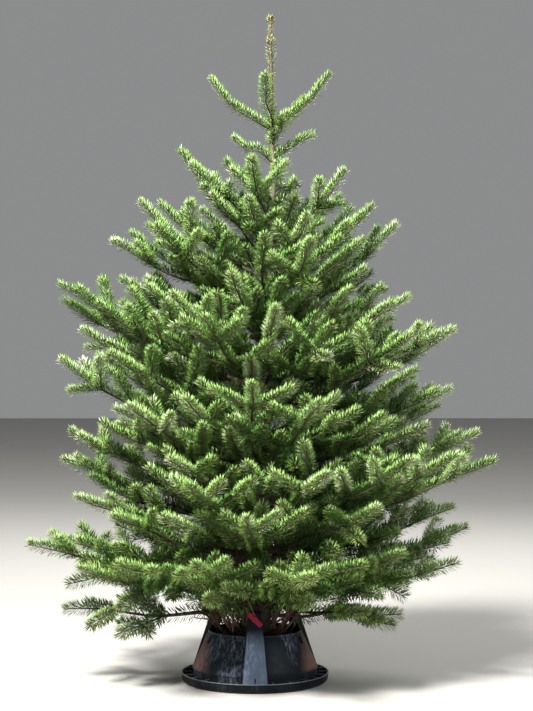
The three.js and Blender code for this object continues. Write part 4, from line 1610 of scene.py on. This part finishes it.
# %% Mould a leg
LEG_WIDTH_FOOT, LEG_WIDTH_TOP = 0.073, 0.035
LEG_DEPTH_FOOT, LEG_DEPTH_TOP = 0.014, 0.024
LEG_OUT_TOP = 0.130                     # how far out the leg's face is at its top
LEG_SHELL = 0.0035
LEG_ROUND, LEG_ROUND_STEPS = 0.0022, 3
LEG_SHARP = math.radians(50)            # edges sharper than this are rounded
SLIT_SIZE = (0.0032, 0.012, 0.013)
SLIT_INSET, SLIT_HEIGHT = 0.010, 0.032

leg_low, leg_high = (np.array(corner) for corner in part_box("stand_leg_front"))
leg_foot, leg_top = float(leg_low[2]), float(leg_high[2])
leg_out_foot = -float(leg_low[1])
leg = add_block("leg_front", (0, -leg_out_foot + LEG_DEPTH_FOOT / 2, (leg_top + leg_foot) / 2),
                (LEG_WIDTH_FOOT, LEG_DEPTH_FOOT, leg_top - leg_foot))
open_piece(leg)
pick("FACE", lambda place, normal: normal.z > 0.9)
bpy.ops.transform.translate(value=(0, leg_out_foot - LEG_OUT_TOP, 0))
narrow = (LEG_WIDTH_TOP / LEG_WIDTH_FOOT, LEG_DEPTH_TOP / LEG_DEPTH_FOOT, 1)
bpy.ops.transform.resize(value=narrow, center_override=(0, -LEG_OUT_TOP, leg_top))
pick("FACE", lambda place, normal: normal.y > 0.8)
bpy.ops.mesh.inset(thickness=LEG_SHELL)
hollow = (0, -(LEG_DEPTH_FOOT - LEG_SHELL), 0)
bpy.ops.mesh.extrude_region_move(TRANSFORM_OT_translate={"value": hollow})
close_piece(30)
cut_with(leg, add_block("slit_cutter", (0, -leg_out_foot + SLIT_INSET, SLIT_HEIGHT), SLIT_SIZE))
add_modifier(leg, "BEVEL", width=LEG_ROUND, segments=LEG_ROUND_STEPS, limit_method="ANGLE",
             angle_limit=LEG_SHARP)
print("leg", round(leg_top - leg_foot, 3), "m high")

# %% Copy the leg round
TURNS_FROM_FRONT = {"front": 0, "back_right": 120, "back_left": 240}


def turned_copy(piece, name, degrees):
    """A copy of a finished piece with its own mesh, turned about the middle of the stand."""
    take_up(piece)
    bpy.ops.object.duplicate()
    copy = bpy.context.object
    copy.name = name
    bpy.ops.object.mode_set(mode="EDIT")
    bpy.ops.mesh.select_all(action="SELECT")
    bpy.ops.transform.rotate(value=-math.radians(degrees), orient_axis="Z",
                             center_override=ORIGIN)
    bpy.ops.object.mode_set(mode="OBJECT")
    return copy


for place, degrees in TURNS_FROM_FRONT.items():
    one = leg if degrees == 0 else turned_copy(leg, f"leg_{place}", degrees)
    bpy.ops.object.shade_smooth_by_angle(angle=math.radians(40))
    # the front leg gets the painted sheen, the back legs the copy painted as if shaded
    plastic = plastics["leg_plain_shaded" if degrees else "leg_black_sheen"]
    hand_over(one, plastic, "stand_plastic", f"stand_leg_{place}")
    print(place, [round(v, 3) for v in np.mean([corner.co for corner in one.data.vertices], axis=0)])

# %% [markdown]
# ## The clamp screws
# Each screw is turned by hand to press on the trunk. Its shaft is pulled out ring by ring, the rings
# alternately wide and narrow for the thread. The head is a two-winged handle: a bar drawn in at the
# middle, with rounded edges, set aslant as the hand left it, on a round hub.

# %% Turn a shaft and its hub
SHAFT_RADIUS, THREAD_DEPTH, THREAD_PITCH = 0.0058, 0.0012, 0.0032
THREAD_RINGS = (                        # share of a turn, and how deep the thread is there
    (0.25, 0.0), (0.4, 0.0), (0.65, THREAD_DEPTH), (0.8, THREAD_DEPTH))
POINT_SHARE = 0.6
HUB_RADIUS, HUB_DEPTH, HUB_PAST = 0.0100, 0.016, 0.0025
SCREW_SIDES = 20

screw_low, screw_high = (np.array(corner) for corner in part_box("clamp_screw_front"))
screw_end, screw_tip = -float(screw_low[1]), -float(screw_high[1])
screw_height = float(screw_low[2] + screw_high[2]) / 2
thread_count = int((screw_end - HUB_DEPTH - screw_tip) / THREAD_PITCH)
profile = [(SHAFT_RADIUS * POINT_SHARE, 0.0)]
for turn in range(thread_count):
    profile += [(SHAFT_RADIUS - deep, (turn + share) * THREAD_PITCH)
                for share, deep in THREAD_RINGS]
neck = thread_count * THREAD_PITCH
hub_end = screw_end - screw_tip + HUB_PAST
profile += [(HUB_RADIUS * 0.9, neck), (HUB_RADIUS, neck + 0.001),
            (HUB_RADIUS, hub_end - 0.0015), (HUB_RADIUS * 0.86, hub_end)]
screw = pull_round("screw_front", profile, SCREW_SIDES)
close_ends(lambda place, way: place.z < 0.0002)
bpy.ops.mesh.select_all(action="SELECT")
bpy.ops.transform.rotate(value=-math.pi / 2, orient_axis="X", center_override=ORIGIN)
bpy.ops.transform.translate(value=(0, -screw_tip, screw_height))
close_piece(30)
print(thread_count, "turns of thread")

# %% Add the wings and copy the screw round
WING_SIZE = (0.050, 0.0105, 0.0180)
WING_CUTS = 3
WAIST_WITHIN, WING_WAIST = 0.3, 0.80    # share of the length that is drawn in, and how much
ENDS_BEYOND, WING_ENDS = 0.45, (0.55, 0.80)
WING_SLANT = math.radians(44)

wings_middle = (0, -screw_end, screw_height)
wings = add_block("wings", (0, -screw_end + WING_SIZE[1] / 2, screw_height), WING_SIZE)
open_piece(wings, "SELECT")
bpy.ops.mesh.subdivide(number_cuts=WING_CUTS)
pick("VERT", lambda place, normal: abs(place.x) < WING_SIZE[0] * WAIST_WITHIN)
bpy.ops.transform.resize(value=(1, 1, WING_WAIST), center_override=wings_middle)
pick("VERT", lambda place, normal: abs(place.x) > WING_SIZE[0] * ENDS_BEYOND)
bpy.ops.transform.resize(value=(1, *WING_ENDS), center_override=wings_middle)
bpy.ops.mesh.select_all(action="SELECT")
bpy.ops.transform.rotate(value=-WING_SLANT, orient_axis="Y", center_override=wings_middle)
close_piece(50)
add_modifier(wings, "SUBSURF", levels=2, render_levels=2)
take_up(wings, screw)
bpy.ops.object.join()
for place, degrees in TURNS_FROM_FRONT.items():
    one = screw if degrees == 0 else turned_copy(screw, f"screw_{place}", degrees)
    hand_over(one, plastics["screw_red"], "screw_plastic", f"clamp_screw_{place}")
